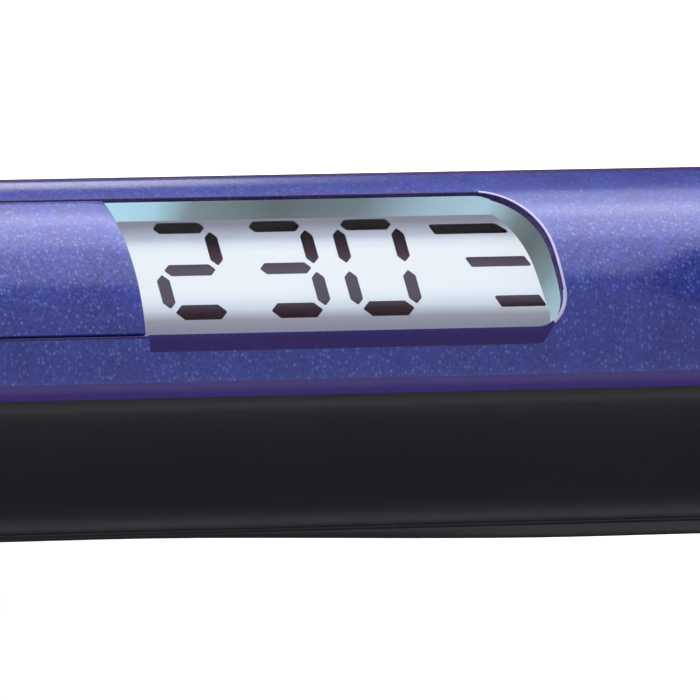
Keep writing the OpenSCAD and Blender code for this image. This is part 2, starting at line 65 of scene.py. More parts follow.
# Grip: its radius, where and how far it narrows towards the rear end, the plane between its halves, its screws
R = 15.5
TAPER_X, TAPER_LEN, TAPER = -142, 26, 5
SEAM_Z = -4.64
SWELL = 0.9
CASE_SCREWS = (-149, -107, -44)

# Top cover: radius of its face, half width in plan, ends and corners
COVER_R = 15.7
COVER_HALF = 11.15
COVER_X0, COVER_X1, COVER_CORNER = -154, -30, 9

# Slot in the cover: half width, rear end and its corners, then the window in its front part
SLOT = 6.95
SLOT_X0, SLOT_CORNER = -146.0, 5
WX0, WX1 = -99.6, -59.0
NEAR_CORNER = 3
SWEEP_X, SWEEP_Y = 4.6, 6.9
PANEL_FIT, PANEL_CORNER = 0.12, 4.9
BUTTONS = {"power": -140.0, "plus": -129.5, "minus": -120.0}

# Display: height of its flat face, foot of the leaning far wall
LCD_Z = 12.0
WALL_FOOT = 6.03

# Hinge pin, barrel, and the stand's pivot with the flats beside it
PX, PZ = 11.0, 19.5
BORE_R, BARREL_R, BARREL_LEN = 11.5, 12.5, 132.0
SEAT_R = 12.56
STAND_X, STAND_Z, STAND_FLAT = 20.0, -10.0, 12.3


# ---- materials

def add(tree, kind, **sets):
    """A node with its inputs and properties set: names with _ become input names with spaces."""
    n = tree.nodes.new("ShaderNode" + kind)
    for key, value in sets.items():
        if hasattr(n, key) and not key.startswith("in_"):
            setattr(n, key, value)
            continue
        name = key[3:] if key.startswith("in_") else key
        slot = n.inputs[int(name)] if name.isdigit() else n.inputs[name.replace("_", " ")]
        if isinstance(value, bpy.types.NodeSocket):
            tree.links.new(value, slot)
        else:
            slot.default_value = value
    return n


def rgb(r, g, b):
    """Linear colour from 0-255 screen values."""
    return tuple(((c / 255 + 0.055) / 1.055) ** 2.4 if c > 10 else c / 255 / 12.92 for c in (r, g, b)) + (1.0,)


def start(name, **sets):
    """A new material, its node tree and its shader, with constant inputs of the shader set."""
    mat = bpy.data.materials.new(name)
    mat.use_nodes = True
    tree = mat.node_tree
    bsdf = tree.nodes["Principled BSDF"]
    for key, value in sets.items():
        bsdf.inputs[key.replace("_", " ")].default_value = value
    return mat, tree, bsdf


def ramp(tree, fac, stops):
    """Colours or grey levels along a factor, from (position, colour) stops."""
    n = add(tree, "ValToRGB", in_Fac=fac)
    while len(n.color_ramp.elements) < len(stops):
        n.color_ramp.elements.new(0.5)
    for e, (pos, col) in zip(n.color_ramp.elements, stops):
        e.position = pos
        e.color = col if isinstance(col, tuple) else (col, col, col, 1)
    return n.outputs["Color"]


def feed(tree, b, **outputs):
    """Links outputs to the shader's inputs, named with _ for spaces."""
    for key, out in outputs.items():
        tree.links.new(out, b.inputs[key.replace("_", " ")])


def noise(tree, at, scale, detail=3.0):
    return add(tree, "TexNoise", in_Vector=at, in_Scale=scale, in_Detail=detail).outputs["Fac"]


def blend(tree, a, b, more=0.5):
    """Half of a and a share of b."""
    part = add(tree, "Math", operation="MULTIPLY", in_0=b, in_1=more).outputs[0]
    return add(tree, "Math", operation="MULTIPLY_ADD", in_0=a, in_1=0.5, in_2=part).outputs[0]


def shades(color, low, high):
    return tuple(c * low for c in color[:3]) + (1,), tuple(min(1, c * high) for c in color[:3]) + (1,)


def mix(tree, share, a, b, kind="MIX"):
    return add(tree, "Mix", data_type="RGBA", blend_type=kind, in_0=share, in_6=a, in_7=b).outputs[2]


def coords(tree, scale=(1, 1, 1)):
    """Coordinates in the iron's own frame, in metres, times scale."""
    at = add(tree, "TexCoord").outputs["Object"]
    return add(tree, "Mapping", vector_type="TEXTURE", in_Vector=at, in_Location=home_pos, in_Rotation=(0, -tilt, 0),
               in_Scale=tuple(1 / s for s in scale)).outputs["Vector"]


def surface(name, color, rough=0.4, metal=0.0, grain=900, grain_depth=0.1, vary=0.12, rough_vary=0.1, coat=0.0,
            coat_rough=0.08, spec=0.5, stretch=(1, 1, 1)):
    """A moulded, brushed or coated surface: fine grain in bump and roughness, slow drift in colour."""
    mat, tree, b = start(name, Metallic=metal, Coat_Weight=coat, Coat_Roughness=coat_rough, Specular_IOR_Level=spec)
    at = coords(tree, stretch)
    fine = noise(tree, at, grain)
    both = blend(tree, fine, noise(tree, coords(tree), 40, 4.0))
    low, high = shades(color, 1 - vary, 1 + vary)
    feed(tree, b, Base_Color=ramp(tree, both, [(0.3, low), (0.7, high)]),
         Roughness=ramp(tree, both, [(0.3, max(0.02, rough - rough_vary)), (0.7, min(1, rough + rough_vary))]),
         Normal=add(tree, "Bump", in_Strength=grain_depth, in_Distance=0.02 * MM, in_Height=fine).outputs[0])
    return mat


def flake_paint(name, body, flake):
    """Metallic lacquer: round sparkling flakes and a fine tilted grain under a clear coat."""
    flake_size, grain_size, tilt_by = 0.36 * MM, 0.16 * MM, 0.17
    mat, tree, b = start(name, Metallic=0.3, Roughness=0.42, Specular_IOR_Level=0.2, Coat_Weight=0.9,
                         Coat_Roughness=0.17, Coat_IOR=1.5)
    at = coords(tree)
    sparks = add(tree, "TexVoronoi", in_Vector=at, in_Scale=1 / flake_size)
    dot = ramp(tree, sparks.outputs["Distance"], [(0.0, 0.8), (0.55, 0.0)])
    draw = add(tree, "SeparateColor", in_0=sparks.outputs["Color"]).outputs[0]
    chosen = ramp(tree, draw, [(0.42, 0.0), (1.0, 1.0)])
    spark = add(tree, "Math", operation="MULTIPLY", in_0=dot, in_1=chosen).outputs[0]
    grains = add(tree, "TexVoronoi", in_Vector=at, in_Scale=1 / grain_size)
    slow = noise(tree, at, 300)
    amount = blend(tree, add(tree, "SeparateColor", in_0=grains.outputs["Color"]).outputs[1], slow, 0.6)
    low, high = shades(body, 0.72, 1.35)
    tint = mix(tree, spark, ramp(tree, amount, [(0.25, low), (0.85, high)]), flake)
    # Each grain leans its own way
    lean = add(tree, "VectorMath", operation="SUBTRACT", in_0=grains.outputs["Color"], in_1=(0.5, 0.5, 0.5))
    lean = add(tree, "VectorMath", operation="SCALE", in_0=lean.outputs[0], in_Scale=tilt_by)
    normal = add(tree, "NewGeometry").outputs["Normal"]
    leaning = add(tree, "VectorMath", operation="ADD", in_0=normal, in_1=lean.outputs[0])
    unit = add(tree, "VectorMath", operation="NORMALIZE", in_0=leaning.outputs[0]).outputs[0]
    feed(tree, b, Base_Color=tint, Roughness=ramp(tree, slow, [(0.3, 0.38), (0.7, 0.46)]), Normal=unit)
    return mat


def glow(name, way, lo, hi, stops, power, base=0.12):
    """A face that glows, with painted light and shade: its shade runs along one direction of the iron, between lo
    and hi in millimetres.
    """
    mat, tree, b = start(name, Roughness=0.55, Specular_IOR_Level=0.05)
    at = add(tree, "VectorMath", operation="DOT_PRODUCT", in_0=coords(tree), in_1=way).outputs["Value"]
    t = add(tree, "MapRange", in_0=at, in_1=lo * MM, in_2=hi * MM).outputs[0]
    grain = noise(tree, coords(tree), 240)
    t = add(tree, "Math", operation="MULTIPLY_ADD", in_0=grain, in_1=0.02, in_2=t).outputs[0]
    shade = ramp(tree, t, [((x - lo) / (hi - lo), rgb(*c)) for x, c in stops])
    bump = add(tree, "Bump", in_Strength=0.02, in_Distance=0.01 * MM, in_Height=grain).outputs[0]
    dim = mix(tree, 1.0, shade, (base, base, base, 1), "MULTIPLY")
    feed(tree, b, Base_Color=dim, Emission_Color=shade, Normal=bump)
    b.inputs["Emission Strength"].default_value = power
    return mat


def gloss(name, color, rough, spec=0.5):
    """Smooth lacquer or polished plastic with hardly any grain."""
    return surface(name, color, rough=rough, grain=1500, grain_depth=0.02, vary=0.06, rough_vary=0.05, spec=spec)


def plain(name, color, rough=0.5, grain=2500, grain_depth=0.06, **more):
    """Moulded plastic or rubber."""
    return surface(name, color, rough=rough, grain=grain, grain_depth=grain_depth, **more)


def metal(name, color, rough, grain, grain_depth, **more):
    return surface(name, color, rough=rough, metal=1.0, grain=grain, grain_depth=grain_depth, **more)


DRAWN = (0.03, 1, 1)  # grain drawn out along the iron

MAT = {
    "purple": flake_paint("purple_flake_lacquer", rgb(44, 53, 136), rgb(104, 128, 196)),
    "violet": gloss("violet_gloss", rgb(60, 45, 116), 0.24, spec=0.3),
    "trim": gloss("dark_violet_gloss", rgb(44, 31, 94), 0.26, spec=0.25),
    # A pale lacquer that paints a highlight on the slot's front edge and round the window's near corner
    "rim": gloss("painted_highlight_edge", rgb(176, 166, 210), 0.22),
    # Near-black matte that paints shade into the seam's groove
    "gap": plain("dark_groove", rgb(9, 8, 10), 0.8, grain_depth=0.05, vary=0.1, spec=0.1),
    "black": plain("black_satin_plastic", rgb(28, 27, 35), 0.32, 2600, 0.10, vary=0.15, rough_vary=0.06, spec=0.35),
    # The display face glows as a backlit face; its ramp paints shade towards its far and near edges
    "panel": glow("display_face", (0, 1, 0), -7, 7, [
        (-5.1, (135, 137, 158)), (-4.1, (150, 152, 166)), (-3.6, (176, 181, 195)), (-3.0, (204, 213, 228)),
        (-2.0, (226, 236, 249)), (-1.2, (236, 243, 252)), (2.8, (238, 245, 252)), (3.6, (222, 233, 246)),
        (4.3, (182, 191, 210)), (5.7, (136, 137, 154))], 0.9),
    # The display's walls glow pale cyan with painted light and reflection: lighter towards both ends of the window,
    # darker in the middle and on the front wall
    "wall": glow("display_wall_painted_light", (1, -0.35, 0), -104, -56, [
        (-100.4, (178, 222, 242)), (-96.4, (170, 210, 228)), (-92.9, (124, 141, 148)), (-84.4, (96, 108, 113)),
        (-76.4, (112, 126, 135)), (-69.4, (158, 188, 204)), (-64, (170, 203, 221)), (-62.6, (150, 178, 190)),
        (-61, (112, 127, 132)), (-59.6, (92, 104, 108)), (-58.2, (120, 140, 148)), (-57.2, (160, 190, 202))], 0.95),
    # The digits glow in their ink colour with a painted reflection: lighter across the middle rows, darkest along
    # the far side
    "ink": glow("display_ink", (0, 1, 0), -5, 6, [
        (-3.9, (34, 17, 28)), (-3.2, (52, 36, 48)), (-2.2, (88, 80, 96)), (0.9, (88, 82, 100)),
        (2.6, (60, 44, 60)), (4.2, (10, 1, 6)), (5.5, (6, 0, 3))], 0.9),
    "chrome": metal("polished_ring", rgb(205, 207, 214), 0.09, 3000, 0.01, vary=0.03, rough_vary=0.04),
    "barrel": surface("barrel_coating", rgb(74, 62, 96), rough=0.3, metal=0.6, grain=5000, grain_depth=0.05,
                      vary=0.1, rough_vary=0.07, coat=0.35, coat_rough=0.2),
    "steel": metal("brushed_steel", rgb(150, 151, 156), 0.36, 2200, 0.08, stretch=DRAWN, vary=0.1, rough_vary=0.09),
    "screw": metal("screw_steel", rgb(140, 141, 146), 0.32, 4000, 0.06),
    "spring": metal("spring_wire", rgb(96, 96, 102), 0.33, 5000, 0.05, vary=0.15),
    "pad": plain("violet_rubber", rgb(84, 80, 150), 0.6, 3500, 0.15, vary=0.1, rough_vary=0.08, spec=0.35),
    "rubber": plain("soft_rubber", rgb(40, 39, 44), 0.75, 3500, 0.2, vary=0.15, rough_vary=0.08, spec=0.3),
    "key": plain("key_plastic", rgb(42, 40, 48), 0.3, 2800, 0.05, vary=0.1, rough_vary=0.06),
    "mark": plain("key_mark", rgb(205, 210, 222), 0.35, 3000, 0.02, vary=0.05, rough_vary=0.05),
    "heat": plain("heat_plastic", rgb(58, 52, 48), grain=2200, grain_depth=0.1),
    "board": plain("circuit_board", rgb(38, 92, 52), 0.35, 700, 0.05, coat=0.4, vary=0.2),
    "chip": plain("component_bodies", rgb(52, 52, 56), grain_depth=0.08),
    "red": plain("red_silicone", rgb(158, 52, 38)),
    "white": plain("white_silicone", rgb(215, 214, 206)),
    "blue": plain("blue_silicone", rgb(44, 78, 140)),
    "brass": metal("contact_metal", rgb(196, 156, 84), 0.28, 3000, 0.05),
    "ceramic": plain("heater_ceramic", rgb(214, 207, 192), 0.55, grain_depth=0.08),
    "alloy": metal("extruded_alloy", rgb(172, 174, 178), 0.36, 1800, 0.08, stretch=DRAWN),
}


def clear_lens():
    """Clear curved window: mostly see-through, with the gloss of its top face."""
    mat, tree, b = start("clear_window", Roughness=0.04, Metallic=0.0, Alpha=0.04, Specular_IOR_Level=0.35)
    n = noise(tree, coords(tree), 220)
    feed(tree, b, Base_Color=ramp(tree, n, [(0.3, rgb(18, 22, 24)), (0.7, rgb(28, 32, 36))]),
         Roughness=ramp(tree, n, [(0.35, 0.05), (0.75, 0.12)]))
    return mat


MAT["lens"] = clear_lens()


# ---- shapes

def make(name, verts, faces, body, mat, slot, stands_for=(), place=HOME, sharp=38):
    """A mesh given in the iron's frame, in millimetres, smooth but for its sharp edges."""
    me = bpy.data.meshes.new(name)
    me.from_pydata((np.array(verts, float) * MM).tolist(), [], [list(f) for f in faces])
    me.transform(place)
    bm = bmesh.new()
    bm.from_mesh(me)
    bmesh.ops.recalc_face_normals(bm, faces=bm.faces)
    bm.to_mesh(me)
    bm.free()
    me.polygons.foreach_set("use_smooth", [True] * len(me.polygons))
    me.set_sharp_from_angle(angle=radians(sharp))
    me.materials.append(MAT[mat])
    o = bpy.data.objects.new(name, me)
    scene.collection.objects.link(o)
    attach(o, body)
    if stands_for:
        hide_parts(*stands_for)
    return o


def ease(t):
    """0 up to t = 0, 1 from t = 1, and smooth between."""
    t = min(1.0, max(0.0, t))
    return t * t * (3 - 2 * t)


def arc(cx, cy, rx, ry, a0, a1, n):
    """n steps of an ellipse's arc between two angles in degrees."""
    turns = [radians(a0 + (a1 - a0) * i / n) for i in range(n + 1)]
    return [(cx + rx * cos(a), cy + ry * sin(a)) for a in turns]


def round_rear(x, h, r, n=12):
    """The rear end of an outline at x, half width h, corner radius r."""
    return arc(x + r, h - r, r, r, 90, 180, n) + arc(x + r, r - h, r, r, 180, 270, n)


def round_box(x0, x1, h, r, n=14):
    """Counter-clockwise outline from x0 to x1, half width h, corner radius r."""
    return arc(x1 - r, r - h, r, r, -90, 0, n) + arc(x1 - r, h - r, r, r, 0, 90, n) + round_rear(x0, h, r, n)


def window_front(g):
    """The slot's front end, counter-clockwise: a small sweep on the near side, a long one on the far side."""
    near = arc(WX1 - NEAR_CORNER, NEAR_CORNER - SLOT, NEAR_CORNER + g, NEAR_CORNER + g, -90, 0, 12)
    return near + arc(WX1 - SWEEP_X, SLOT - SWEEP_Y, SWEEP_X + g, SWEEP_Y + g, 0, 90, 22)


def window(g):
    """Outline of the window, larger by g all round."""
    return window_front(g) + [(WX0 - g, SLOT + g), (WX0 - g, -SLOT - g)]


def far_limit(x):
    """How far the slot reaches on its far side at x."""
    t = min(1.0, max(0.0, (x - WX1 + SWEEP_X) / SWEEP_X))
    return SLOT - SWEEP_Y + SWEEP_Y * sqrt(1 - t * t) + 0.02


def hole(x, r, n):
    """A clockwise circle on the centre line."""
    return [(x + r * cos(a), r * sin(a)) for a in np.linspace(0, -2 * pi, n + 1)[:-1]]


def ringed(outer, inner, count=3):
    """Wall rings of a plate's outer loop and of its holes."""
    return {0: outer, **{k + 1: inner for k in range(count)}}


def clean(points, step):
    """Drops repeated points and cuts long edges into steps."""
    pts = [points[0]]
    for p in points[1:]:
        if dist(p, pts[-1]) > 0.01:
            pts.append(p)
    if dist(pts[0], pts[-1]) < 0.01:
        pts.pop()
    out = []
    for a, b in zip(pts, pts[1:] + pts[:1]):
        n = max(1, round(dist(a, b) / step))
        out += [(a[0] + (b[0] - a[0]) * i / n, a[1] + (b[1] - a[1]) * i / n) for i in range(n)]
    return out


def inset(points, d):
    """Moves a loop to its left by d, which is inwards for a counter-clockwise one."""
    p = np.array(points, float)
    e = np.roll(p, -1, 0) - p
    e /= np.linalg.norm(e, axis=1)[:, None]
    n1 = np.stack([-e[:, 1], e[:, 0]], 1)
    n0 = np.roll(n1, 1, 0)
    m = n0 + n1
    m /= np.maximum((m * n1).sum(1), 0.4)[:, None]
    return [tuple(q) for q in p + m * d]


def within(g, p, edges):
    """Which of the points g lie inside the loops, by counting crossings."""
    inside = np.zeros(len(g), bool)
    for i, j in edges:
        a, b = p[i], p[j]
        if a[1] != b[1]:
            hit = (a[1] > g[:, 1]) != (b[1] > g[:, 1])
            inside ^= hit & (g[:, 0] < (b[0] - a[0]) * (g[:, 1] - a[1]) / (b[1] - a[1]) + a[0])
    return inside


def fill(loops, du, dv):
    """Triangles that fill the outer loop less its holes, with a grid of points inside.
    Returns those points and the faces."""
    pts = [p for l in loops for p in l]
    edges, base = [], 0
    for l in loops:
        edges += [(base + i, base + (i + 1) % len(l)) for i in range(len(l))]
        base += len(l)
    p = np.array(pts) / (du, dv)
    lo, hi = p.min(0), p.max(0)
    gu, gv = np.meshgrid(np.arange(floor(lo[0]) + 0.5, hi[0]), np.arange(floor(lo[1]) + 0.5, hi[1]))
    g = np.stack([gu.ravel(), gv.ravel()], 1)
    near = np.full(len(g), 9.0)
    for i, j in edges:
        a, b = p[i], p[j]
        t = np.clip(((g - a) @ (b - a)) / max(1e-9, (b - a) @ (b - a)), 0, 1)
        near = np.minimum(near, np.linalg.norm(g - a - t[:, None] * (b - a), axis=1))
    g = g[within(g, p, edges) & (near > 0.45)]
    every = np.vstack([p, g])
    res = delaunay_2d_cdt([Vector(q) for q in every], edges, [], 0, 1e-7)
    ids = [o[0] for o in res[3]]
    tris = np.array([[ids[i] for i in f] for f in res[2]])
    tris = tris[within(every[tris].mean(1), p, edges)]
    return [tuple(q) for q in g * (du, dv)], tris.tolist()


def plate(loops, rings, at, du=1.2, dv=0.6, blind=()):
    """A closed plate. Each loop (the outer one first, counter-clockwise; holes clockwise) is walled by its rings of
    (inset, depth), from the back up to the top face. at(u, v, depth) gives the place of a point. A blind hole has a
    floor where its rings start."""
    verts, faces, tops, backs, top_ids, back_ids, floors = [], [], [], [], [], [], []
    for k, loop in enumerate(loops):
        prev = None
        for d, depth in (rings[k] if isinstance(rings, dict) else rings):
            pts = inset(loop, d)
            ids = list(range(len(verts), len(verts) + len(pts)))
            verts += [at(u, v, depth) for u, v in pts]
            if prev is None and k in blind:
                floors.append(([pts], ids, depth, 1))
            elif prev is None:
                backs.append(pts)
                back_ids += ids
                back_depth = depth
            else:
                n = len(ids)
                faces += [(prev[i], prev[(i + 1) % n], ids[(i + 1) % n], ids[i]) for i in range(n)]
            prev = ids
        tops.append(pts)
        top_ids += ids
        top_depth = depth
    for sets, ids, depth, turn in [(tops, top_ids, top_depth, 1), (backs, back_ids, back_depth, -1)] + floors:
        extra, tris = fill(sets, du, dv)
        ids = ids + list(range(len(verts), len(verts) + len(extra)))
        verts += [at(u, v, depth) for u, v in extra]
        faces += [[ids[i] for i in f][::turn] for f in tris]
    return verts, faces


def on_round(radius):
    """Plan coordinates dropped on to a cylinder round the axis."""
    return lambda x, y, depth: (x, y, sqrt(max(0.01, (radius - depth) ** 2 - y * y)))


def flat(z):
    """Plan coordinates on a level face at height z."""
    return lambda x, y, depth: (x, y, z - depth)


def edge(r, back, n=4):
    """Wall rings from the back up to a rounded top edge of radius r."""
    steps = [pi / 2 * i / n for i in range(n + 1)]
    return [(0.0, back)] + [(r * (1 - cos(a)), r * (1 - sin(a))) for a in steps]


def circle(cx, cy, r, n=48):
    return arc(cx, cy, r, r, 0, 360, n)[:-1]


def join(*shells):
    """Several closed shells as the verts and faces of one mesh."""
    verts, faces = [], []
    for v, f in shells:
        faces += [[i + len(verts) for i in face] for face in f]
        verts += [tuple(p) for p in v]
    return verts, faces


def moved(shell, matrix):
    return [tuple(matrix @ Vector(v)) for v in shell[0]], shell[1]


def turned(profile, n=144):
    """A closed profile of (x, r) turned round the axis. Points on the axis close up."""
    verts, faces, rows = [], [], []
    for x, r in profile:
        if r < 1e-6:
            rows.append([len(verts)] * n)
            verts.append((x, 0, 0))
        else:
            rows.append(list(range(len(verts), len(verts) + n)))
            verts += [(x, r * sin(2 * pi * i / n), r * cos(2 * pi * i / n)) for i in range(n)]
    for a, b in zip(rows, rows[1:] + rows[:1]):
        for i in range(n):
            j = (i + 1) % n
            f = []
            for v in (a[i], a[j], b[j], b[i]):
                if v not in f:
                    f.append(v)
            if len(f) > 2:
                faces.append(f)
    return verts, faces


def soften(points, n=5, closed=True):
    """Rounds the corners of a profile: each point is (x, y, radius)."""
    out = []
    count = len(points)
    for i, (x, y, r) in enumerate(points):
        if r == 0 or (not closed and i in (0, count - 1)):
            out.append((x, y))
            continue
        p = Vector((x, y))
        a = (Vector(points[i - 1][:2]) - p).normalized()
        b = (Vector(points[(i + 1) % count][:2]) - p).normalized()
        half = a.angle(b) / 2
        t = r / tan(half)
        c = p + (a + b).normalized() * (r / sin(half))
        s, e = p + a * t - c, p + b * t - c
        turn = s.angle_signed(e)
        for k in range(n + 1):
            v = s.copy()
            v.rotate(Matrix.Rotation(-turn * k / n, 2))
            out.append(tuple(c + v))
    return out


# ---- grip shells

def grip_radius(x):
    return R if x > TAPER_X else R - TAPER * ((TAPER_X - x) / TAPER_LEN) ** 2


def swell(x, s):
    """The underside fills out a little towards the front, where the fingers close round it."""
    return SWELL * ease((18.6 - abs(s)) / 4.2) * ease((x + 98) / 50) * ease(-(x + 3) / 24)


def on_grip(side):
    """Along the axis and round the grip, from its crest (side 1) or its underside (side -1)."""
    def at(x, s, depth):
        r = grip_radius(min(0, max(REAR, x))) - depth + (swell(x, s) if side < 0 else 0)
        a = s / R
        return (x, side * r * sin(a), side * r * cos(a))
    return at


def stations(gap, count):
    """Places along the grip, closer together in the taper at its rear end."""
    return [REAR + gap + TAPER_LEN * i / 20 for i in range(21)] + list(np.linspace(-140, -gap, count))


def seam_loop(z, side):
    """Outline of a half of the grip whose long edges lie at height z."""
    xs = stations(0, 90)
    s = [R * acos(side * z / grip_radius(x)) for x in xs]
    near = [(x, -v) for x, v in zip(xs, s)]
    far = [(x, v) for x, v in zip(xs, s)][::-1]
    ends = [(xs[-1], v) for v in np.linspace(-s[-1], s[-1], 60)][1:-1]
    rear = [(xs[0], v) for v in np.linspace(s[0], -s[0], 50)][1:-1]
    return near + ends + far + rear


# The black shell dips a little where it meets the cover's pocket
DIP, DIP_WIDE, POCKET_FIT = 0.13, 1.35, 0.05
dip = [(0.0, 1.3), (0.0, 0.2), (0.05, DIP)]
dip += [(0.05 + DIP_WIDE * t, DIP * (1 - t) ** 2) for t in (0.2, 0.4, 0.6, 0.8, 1.0)]
pocket = round_box(COVER_X0 - POCKET_FIT, COVER_X1 + POCKET_FIT, COVER_HALF + POCKET_FIT, COVER_CORNER)
pocket = [(x, R * asin(y / R)) for x, y in clean(pocket, 1.2)]
v, f = plate([seam_loop(SEAM_Z, 1), pocket[::-1]], {0: edge(0.3, 2.2), 1: dip}, on_grip(1), 1.6, 0.8)
make("grip_upper_shell", v, f, "handle", "black", "black_plastic", ["upper_housing"])

sinks = [hole(x, 3, 40) for x in CASE_SCREWS]
v, f = plate([seam_loop(SEAM_Z - 1, -1)] + sinks, ringed(edge(0.3, 2.2), edge(0.2, 2.2)), on_grip(-1), 1.6, 0.8)
make("grip_lower_shell", v, f, "handle", "black", "black_plastic", ["lower_housing"])


def strip(sections):
    """Quads over a list of closed sections, with end caps."""
    n = len(sections[0])
    verts = [p for s in sections for p in s]
    faces = [(k * n + i, k * n + (i + 1) % n, (k + 1) * n + (i + 1) % n, (k + 1) * n + i)
             for k in range(len(sections) - 1) for i in range(n)]
    faces += [list(range(n))[::-1], list(range((len(sections) - 1) * n, len(sections) * n))]
    return verts, faces


# Lips between the halves, set back from the surface, in a near-black matte that paints shade into the seam's groove
LIP_BACK, LIP_THICK, LIP_TOP, LIP_LOW = 0.75, 1.2, SEAM_Z - 0.06, SEAM_Z - 1.3
for side, word in ((-1, "near"), (1, "far")):
    rows = []
    for x in stations(0.4, 40):
        r = grip_radius(x) - LIP_BACK
        ring = [(sqrt(r * r - z * z), z) for z in np.linspace(LIP_TOP, LIP_LOW, 4)]
        ring += [(sqrt((r - LIP_THICK) ** 2 - z * z), z) for z in (LIP_LOW, LIP_TOP)]
        rows.append([(x, side * y, z) for y, z in (ring if side > 0 else ring[::-1])])
    v, f = strip(rows)
    make("seam_lip_" + word, v, f, "handle", "gap", "black_plastic")

# ---- top cover and window

COVER_THICK, BAND, HIGHLIGHT_BAND = 1.5, 0.8, 0.28
cover_edge = [(0.0, COVER_THICK), (0.0, 0.12), (0.03, 0.04), (0.1, 0.0), (BAND, 0.0)]
# A flat band round the slot's edge, which carries the painted highlight at the front
slot_edge = edge(0.2, COVER_THICK) + [(HIGHLIGHT_BAND, 0.0)]
outline = clean(round_box(COVER_X0, COVER_X1, COVER_HALF, COVER_CORNER), 1.0)
slot_loop = clean(window_front(0.0) + round_rear(SLOT_X0, SLOT, SLOT_CORNER), 1.0)[::-1]
v, f = plate([outline, slot_loop], {0: cover_edge, 1: slot_edge}, on_round(COVER_R), 1.4, 0.6)
cover = make("grip_cover", v, f, "handle", "purple", "purple_paint", ["top_cover"])
for extra in ("violet", "trim", "rim"):
    cover.data.materials.append(MAT[extra])
walls = len(outline) * (len(cover_edge) - 1)
# The outer band is violet; the slot's wall is a smooth violet, darkened as painted shade; and the slot's front edge
# carries a painted highlight in a pale lacquer
for n, face in enumerate(cover.data.polygons[:walls + len(slot_loop) * (len(slot_edge) - 1)]):
    ring, i = divmod(n - walls, len(slot_loop))
    painted_highlight = ring >= 3 and slot_loop[i][0] > WX1 - SWEEP_X
    face.material_index = 1 if n < walls else 3 if painted_highlight else 2

panel_x1, panel_half = WX0 - 0.25, SLOT - PANEL_FIT
panel_loop = [(panel_x1, -panel_half), (panel_x1, panel_half)]
panel_loop += round_rear(SLOT_X0 + PANEL_FIT, panel_half, PANEL_CORNER)
holes = [hole(x, 4, 48) for x in BUTTONS.values()]
v, f = plate([clean(panel_loop, 0.8)] + holes, ringed(edge(0.08, COVER_THICK), edge(0.2, COVER_THICK)),
             on_round(COVER_R), 1.2, 0.6)
make("key_panel", v, f, "handle", "purple", "purple_paint", ["control_panel"])

# Narrow smooth strip along the near side of the window, which dwindles to a rim round the near corner
TRIM_WIDE, TRIM_RIM, TRIM_END = 1.45, 0.3, 32
side_xs = np.linspace(WX0 + 0.05, WX1 - NEAR_CORNER, 40)
outer = [(x, -SLOT - TRIM_WIDE) for x in side_xs]
for a in np.linspace(-90, 0, 21)[1:]:
    wide = NEAR_CORNER + TRIM_RIM + (TRIM_WIDE - TRIM_RIM) * (1 - ease((a + 90) / TRIM_END))
    outer += arc(WX1 - NEAR_CORNER, NEAR_CORNER - SLOT, wide, wide, a, a, 1)[:1]
inner = [(x, -SLOT) for x in side_xs]
inner += arc(WX1 - NEAR_CORNER, NEAR_CORNER - SLOT, NEAR_CORNER, NEAR_CORNER, -90, 0, 20)[1:]
rows = []
for (ax, ay), (bx, by) in zip(outer, inner):
    # The face stands 0.02 mm proud, and its two edges fall away
    top = [(ax + (bx - ax) * t, ay + (by - ay) * t, 0.06 * abs(2 * t - 1) ** 8 - 0.02) for t in np.linspace(0, 1, 9)]
    rows.append([on_round(COVER_R)(*p) for p in top + [(bx, by, 0.48), (ax, ay, 0.48)]])
RIM_FROM = len(rows) - 14
v, f = strip(rows)
trim = make("window_trim", v, f, "handle", "trim", "purple_trim", ["display_bezel"])
# The rim round the near corner takes the pale lacquer of the painted highlight
trim.data.materials.append(MAT["rim"])
for face in trim.data.polygons:
    if min(face.vertices) >= len(rows[0]) * RIM_FROM:
        face.material_index = 1

v, f = plate([clean(window(-0.06), 0.8)], edge(0.15, 0.55), on_round(COVER_R - 0.08), 1.2, 0.5)
make("display_window", v, f, "handle", "lens", "clear_lens", ["display_lens"])
WALL_R = 14.94
v, f = plate([clean(window(0.8), 0.8), clean(window(-0.03), 0.6)[::-1]], edge(0.05, 4.0), on_round(WALL_R), 1.2, 0.5)
lean = []
for x in np.linspace(WX0, WX1 - 2.33, 60):
    y = min(SLOT, far_limit(x)) + 0.02
    lean.append([(x, WALL_FOOT, LCD_Z + 0.02), (x, y, LCD_Z + 0.02), (x, y, 13.6)])
make("window_walls", *join((v, f), strip(lean)), "handle", "wall", "display_wall", ["display_frame"])
v, f = plate([clean(window(-0.05), 0.8)], [(0, 1.4), (0, 0)], flat(LCD_Z), 1.2, 0.5)
make("display_face", v, f, "handle", "panel", "display_white", ["display_panel"])

# Digits and level bars, drawn on the flat display face
HALF_W, HALF_H, DIGIT_Y, SLANT, STROKE, CUT = 2.85, 4.33, 0.9, 0.05, 1.2, 0.42
DIGITS = ((-92.36, "abged"), (-83.12, "abgcd"), (-74.25, "abcdef"))
BARS = ((4.6, 1.0, -68.0, -61.5, 1.3), (1.15, 1.0, -65.5, -59.7, 0.45), (-2.95, 1.15, -63.9, -59.5, 0.4))


def level(y, thick):
    """A lying stroke of a digit, pointed at both ends."""
    s, w = thick / 2, HALF_W - 0.36
    return [(-w, y), (-w + s, y - s), (w - s, y - s), (w, y), (w - s, y + s), (-w + s, y + s)]


def upright(x, y0, y1):
    """A standing stroke of a digit."""
    s = STROKE / 2
    return [(x, y0), (x + s, y0 + s), (x + s, y1 - s), (x, y1), (x - s, y1 - s), (x - s, y0 + s)]


